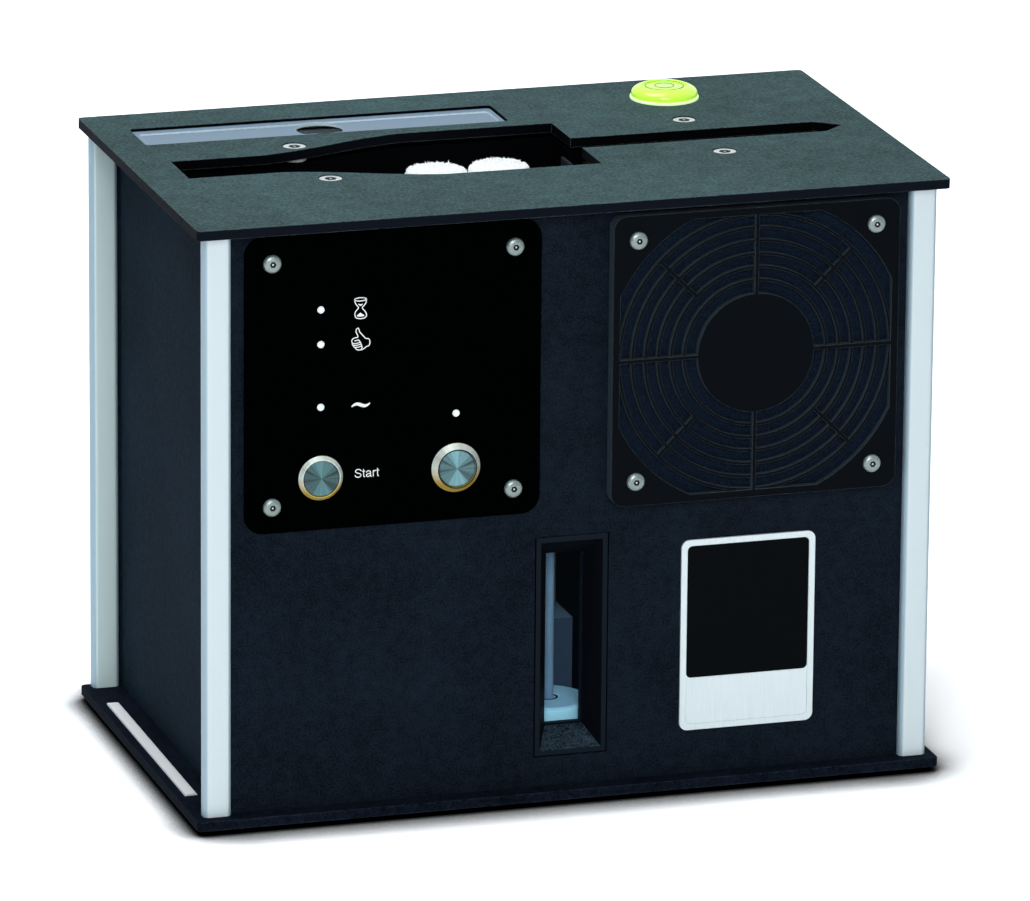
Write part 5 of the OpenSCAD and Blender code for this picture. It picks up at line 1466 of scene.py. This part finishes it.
    def lips(self) -> None:
        """Make the wiper lips: two soft strips that thin out and wave towards the record.

        At share s across, a lip reaches 0.7 - 0.45 s to each side of its middle line, which
        waves along the height z by 0.12 s^2 sin(0.35 z).
        """
        low, high = self.bench.box("wiper_lips")
        middle = (low + high) / 2
        rise = np.linspace(low[2], high[2], self.lip_rows)[:, None]
        across = np.linspace(0.0, 1.0, self.lip_steps)
        thick = self.lip_t[0] + (self.lip_t[1] - self.lip_t[0]) * across
        x = middle[0] + self.lip_wave * across ** 2 * np.sin(rise * 0.35)
        parts = []
        for side in (-1.0, 1.0):
            root = high[1] - middle[1]
            y = middle[1] + side * (root + (self.lip_gap - root) * across)
            points = np.stack(np.broadcast_arrays(
                np.hstack([x + thick, (x - thick)[:, ::-1]]), np.append(y, y[::-1]), rise),
                axis=-1)
            parts.append((points.reshape(-1, 3),
                          ring_quads(self.lip_rows, 2 * self.lip_steps, capped=True)))
        self.bench.piece("soft_lips", joined(parts), "lip_silicone", "lip_silicone",
                         replaces=("wiper_lips",), smooth=True)


@dataclass
class FilterSlot(SubAssembly):
    """Tray, sponge and lid of the filter."""

    COATS = (("moulded_black", 0.3, "filter_tray"), ("lid_clear", 0.3, "filter_lid"))
    sponge_r: float = 2.2
    sponge_crown: float = 0.35
    sponge_ripple: float = 0.12

    def shape(self) -> None:
        """Make the sponge."""
        block = soft_block(*self.bench.box("filter_sponge"), self.sponge_r, self.sponge_crown,
                           self.sponge_ripple)
        sponge = self.bench.piece("soft_sponge", block, "sponge_dark", "sponge_dark",
                                  replaces=("filter_sponge",), smooth=True, weld=True)


@dataclass
class BubbleLevel(SubAssembly):
    """Round spirit level on the top plate.

    The profiles are lists of how far in from the outer radius and how far up a point lies.
    """

    RING = ((0.15, 0.02), (0.0, 0.2), (0.0, 0.95), (0.25, 1.2))
    CROWN = ((4.35, -0.07), (4.7, 0.0))
    FLUID = ((0.0, -0.5), (0.3, -0.25))
    around: int = 96
    ring_in: float = 9.8
    ring_h: Pair = (0.02, 1.2)
    body_foot: float = 1.22
    slope_in: Pair = (0.5, 3.5)
    slope_power: float = 3.5
    slope_drop: float = 0.23
    lip_r: float = 9.9
    well_r: float = 9.65
    well_drop: float = 0.25
    chamfer: float = 0.2
    meniscus_r: float = 5.0
    meniscus_drop: float = 0.05
    marks_r: Pair = (4.2, 8.4)
    mark_half: float = 0.17
    mark_h: float = 0.12
    bubble_r: float = 3.0
    bubble_h: float = 0.3
    bubble_sink: Pair = (-0.04, -0.12)
    bubble_at: Pair = (1.1, -0.6)

    def shape(self) -> None:
        """Make the body, the liquid, the bubble and the ring marks."""
        low, high = self.bench.box("spirit_level")
        centre = ((low[0] + high[0]) / 2, (low[1] + high[1]) / 2, low[2])
        self.body(centre, (high[0] - low[0]) / 2, high[2] - low[2])
        self.liquid(centre)

    def body(self, centre: Point, radius: float, height: float) -> None:
        """Make the base ring and the body, both turned about the level's axis.

        The body's flank at share s of its height lies in by 0.5 + 3.5 s^3.5.

        Args:
            centre: Middle of the level's foot, in millimetres.
            radius: Its outer radius.
            height: Its height.
        """
        foot, top = self.ring_h
        ring = [(self.ring_in, foot), *((radius - inset, rise) for inset, rise in self.RING),
                (self.ring_in, top)]
        self.bench.piece("level_base", lathe(ring, centre, Axis.Z, self.around), "level_ring",
                         "level_yellow", smooth=True)
        start, reach = self.slope_in
        run = height - self.slope_drop - self.body_foot
        slope = [(radius - start - reach * share ** self.slope_power,
                  self.body_foot + run * share) for share in np.linspace(0.0, 1.0, 14)]
        shell = [(self.well_r, self.body_foot), *slope,
                 *((radius - inset, height + rise) for inset, rise in self.CROWN),
                 (self.lip_r, height), (self.well_r, height - self.well_drop)]
        self.bench.piece("level_body", lathe(shell, centre, Axis.Z, self.around), "level_yellow",
                         "level_yellow", replaces=("spirit_level",), smooth=True)

    def liquid(self, centre: Point) -> None:
        """Make the liquid with its bubble and two ring marks.

        Args:
            centre: Middle of the level's foot, in millimetres.
        """
        low, high = self.bench.box("level_vial")
        radius = (high[0] - low[0]) / 2
        floor, top = low[2] - centre[2], high[2] - centre[2]
        fluid = [(0.0, floor), (radius - self.chamfer, floor), (radius, floor + self.chamfer),
                 *((radius - inset, top + rise) for inset, rise in self.FLUID),
                 (self.meniscus_r, top - self.meniscus_drop), (0.0, top)]
        self.bench.piece("level_liquid", lathe(fluid, centre, Axis.Z, self.around), "vial_green",
                         "vial_green", replaces=("level_vial",), smooth=True)
        marks = joined(tube((r - self.mark_half, r + self.mark_half), (top, top + self.mark_h),
                            centre, Axis.Z, self.around) for r in self.marks_r)
        self.bench.piece("level_marks", marks, "level_mark", "vial_green", smooth=True)
        place = (centre[0] + self.bubble_at[0], centre[1] + self.bubble_at[1], centre[2] + top)
        rim, base = self.bubble_sink
        dome = arc((0.0, rim), (self.bubble_r, self.bubble_h), 90, 0, 9)
        bubble = [(0.0, dome[0, 1]), *dome[1:].tolist(), (self.bubble_r, base), (0.0, base)]
        self.bench.piece("level_bubble", lathe(bubble, place), "bubble_clear", "vial_green",
                         smooth=True)


@dataclass
class Studio:
    """Camera, floor, lights and world."""

    azimuth: float = -17.203
    elevation: float = 16.348
    roll: float = 0.511
    distance: float = 3976.18
    lens: float = 323.41
    sensor: float = 36.0
    clip: Pair = (100.0, 50000.0)
    target: Point = (3.606, 0.0, 128.03)
    floor_r: float = 3200.0
    floor_colour: Colour = (0.93, 0.94, 0.95)
    floor_shine: float = 0.16
    # Reach and power of the painted shade that ambient occlusion lays on the floor close to the
    # object.
    contact_shade: float = 30.0
    contact_power: float = 6.0
    ambient: float = 0.28
    ambient_left: Colour = (0.50, 0.72, 0.95)
    ambient_right: Colour = (0.93, 0.97, 1.0)
    gloss: float = 0.95
    gloss_colour: Colour = (0.95, 0.98, 1.0)
    lamp_size: float = 1600.0
    front_lamp: Point = (-700.0, -3000.0, 1600.0)
    front_power: float = 52.0
    top_lamp: Point = (-600.0, 200.0, 2300.0)
    top_power: float = 30.0

    def build(self) -> None:
        """Set up the view and the light."""
        scene = bpy.context.scene
        scene.view_settings.view_transform = "Standard"
        self.camera(scene)
        self.floor()
        self.world(scene)
        self.lamp("lamp_front", self.front_lamp, self.front_power)
        self.lamp("lamp_top", self.top_lamp, self.top_power)

    def camera(self, scene: bpy.types.Scene) -> None:
        """Put the camera at the photograph's angle.

        The view direction is d = (sin a cos e, -cos a cos e, sin e), the right hand is the
        horizontal normal to it, and the roll turns right and up about it.

        Args:
            scene: The scene that gets the camera.
        """
        a, e, r = (math.radians(value) for value in (self.azimuth, self.elevation, self.roll))
        way = Vector((math.sin(a) * math.cos(e), -math.cos(a) * math.cos(e), math.sin(e)))
        flat_right = (-way).cross(Vector((0.0, 0.0, 1.0))).normalized()
        flat_up = flat_right.cross(-way)
        right = math.cos(r) * flat_right + math.sin(r) * flat_up
        up = -math.sin(r) * flat_right + math.cos(r) * flat_up
        data = bpy.data.cameras.new("camera")
        data.lens = self.lens
        data.sensor_width = self.sensor
        data.sensor_fit = "HORIZONTAL"
        data.clip_start, data.clip_end = (value * MM for value in self.clip)
        camera = bpy.data.objects.new("camera", data)
        turn = Matrix((right, up, way)).transposed().to_4x4()
        place = (Vector(self.target) + way * self.distance) * MM
        camera.matrix_world = Matrix.Translation(place) @ turn
        scene.collection.objects.link(camera)
        scene.camera = camera

    def floor(self) -> None:
        """Lay a round white floor that keeps the object's shadow, with painted shade from ambient
        occlusion close to the object.
        """
        verts = polar(self.floor_r * MM, circle(64), 0.0)
        mesh = bpy.data.meshes.new("floor")
        mesh.from_pydata(verts.tolist(), [], [list(range(len(verts)))])
        material = bpy.data.materials.new("floor")
        material.use_nodes = True
        kit = Tree(material.node_tree)
        ray = kit.add("ShaderNodeLightPath").outputs
        seen = kit.math("MAXIMUM", ray["Is Camera Ray"], kit.math(
            "MAXIMUM", ray["Is Glossy Ray"], ray["Is Transmission Ray"]))
        # Painted shade: ambient occlusion darkens the floor's colour close to the object.
        near = kit.add("ShaderNodeAmbientOcclusion", {"Distance": self.contact_shade * MM},
                       samples=SHADE_SAMPLES)
        contact_shade = kit.math("POWER", near.outputs["AO"], self.contact_power)
        white = kit.scaled(self.floor_colour, contact_shade)
        shadow = kit.add("ShaderNodeBsdfDiffuse", {"Color": white}).outputs[0]
        twice = kit.add("ShaderNodeAddShader", {0: shadow, 1: shadow})
        plain = kit.add("ShaderNodeBsdfDiffuse", {"Color": (*self.floor_colour, 1.0)})
        shade = kit.add("ShaderNodeMixShader", {0: ray["Is Camera Ray"], 1: plain.outputs[0],
                                                2: twice.outputs[0]})
        # The emission of the floor is dimmed by the same painted shade.
        bright = kit.math("MULTIPLY", kit.math("MULTIPLY", seen, contact_shade), self.floor_shine)
        shine = kit.add("ShaderNodeEmission", {"Strength": bright})
        whole = kit.add("ShaderNodeAddShader", {0: shade.outputs[0], 1: shine.outputs[0]})
        kit.add("ShaderNodeOutputMaterial", {"Surface": whole.outputs[0]})
        mesh.materials.append(material)
        floor = bpy.data.objects.new("floor", mesh)
        bpy.context.scene.collection.objects.link(floor)

    def world(self, scene: bpy.types.Scene) -> None:
        """Light the room: white to the camera, in gloss darker to the left and front, else soft.

        Args:
            scene: The scene that gets the world.
        """
        world = bpy.data.worlds.new("room")
        scene.world = world
        world.use_nodes = True
        kit = Tree(world.node_tree)
        ray = kit.add("ShaderNodeLightPath").outputs
        seen = kit.math("MAXIMUM", ray["Is Camera Ray"], ray["Is Transmission Ray"])
        way = kit.apart(kit.add("ShaderNodeTexCoord").outputs["Generated"])
        left = kit.ramp(way["X"], -0.9, 0.1, 0.4, 1.0)
        ahead = kit.ramp(way["Y"], -0.8, 0.2, 0.4, 1.0)
        gloss = kit.math("MULTIPLY", kit.math("MULTIPLY", left, ahead), self.gloss)
        tint = kit.mix(kit.ramp(way["X"], -0.9, 0.0), (*self.ambient_left, 1.0),
                       (*self.ambient_right, 1.0))
        soft, shiny, white = (
            kit.add("ShaderNodeBackground", {"Color": colour, "Strength": strength}).outputs[0]
            for colour, strength in ((tint, self.ambient), ((*self.gloss_colour, 1.0), gloss),
                                     ((1.0, 1.0, 1.0, 1.0), 1.0)))
        lit = kit.add("ShaderNodeMixShader", {0: ray["Is Glossy Ray"], 1: soft, 2: shiny})
        whole = kit.add("ShaderNodeMixShader", {0: seen, 1: lit.outputs[0], 2: white})
        kit.add("ShaderNodeOutputWorld", {"Surface": whole.outputs[0]})

    def lamp(self, name: str, place: Point, power: float) -> None:
        """Hang a square soft lamp that faces the object.

        Args:
            name: Name of the lamp.
            place: Its place in millimetres.
            power: Its power in watts.
        """
        data = bpy.data.lights.new(name, "AREA")
        data.shape = "SQUARE"
        data.size = self.lamp_size * MM
        data.energy = power
        lamp = bpy.data.objects.new(name, data)
        way = Vector(place) - Vector(self.target)
        lamp.matrix_world = (Matrix.Translation(Vector(place) * MM)
                             @ way.to_track_quat("Z", "Y").to_matrix().to_4x4())
        bpy.context.scene.collection.objects.link(lamp)


def main() -> None:
    """Build the studio and every part of the machine."""
    logging.basicConfig(level=logging.INFO, format="%(message)s")
    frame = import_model()
    bench = Bench(frame, Palette())
    Studio().build()
    for part in (Casing, ControlPanel, DryingFan, SightWindow, WaterCircuit, BarrelBath,
                 FilterSlot, BubbleLevel):
        part(bench).build()
        LOG.info("built %s", part.__name__)


if __name__ == "__main__":
    main()
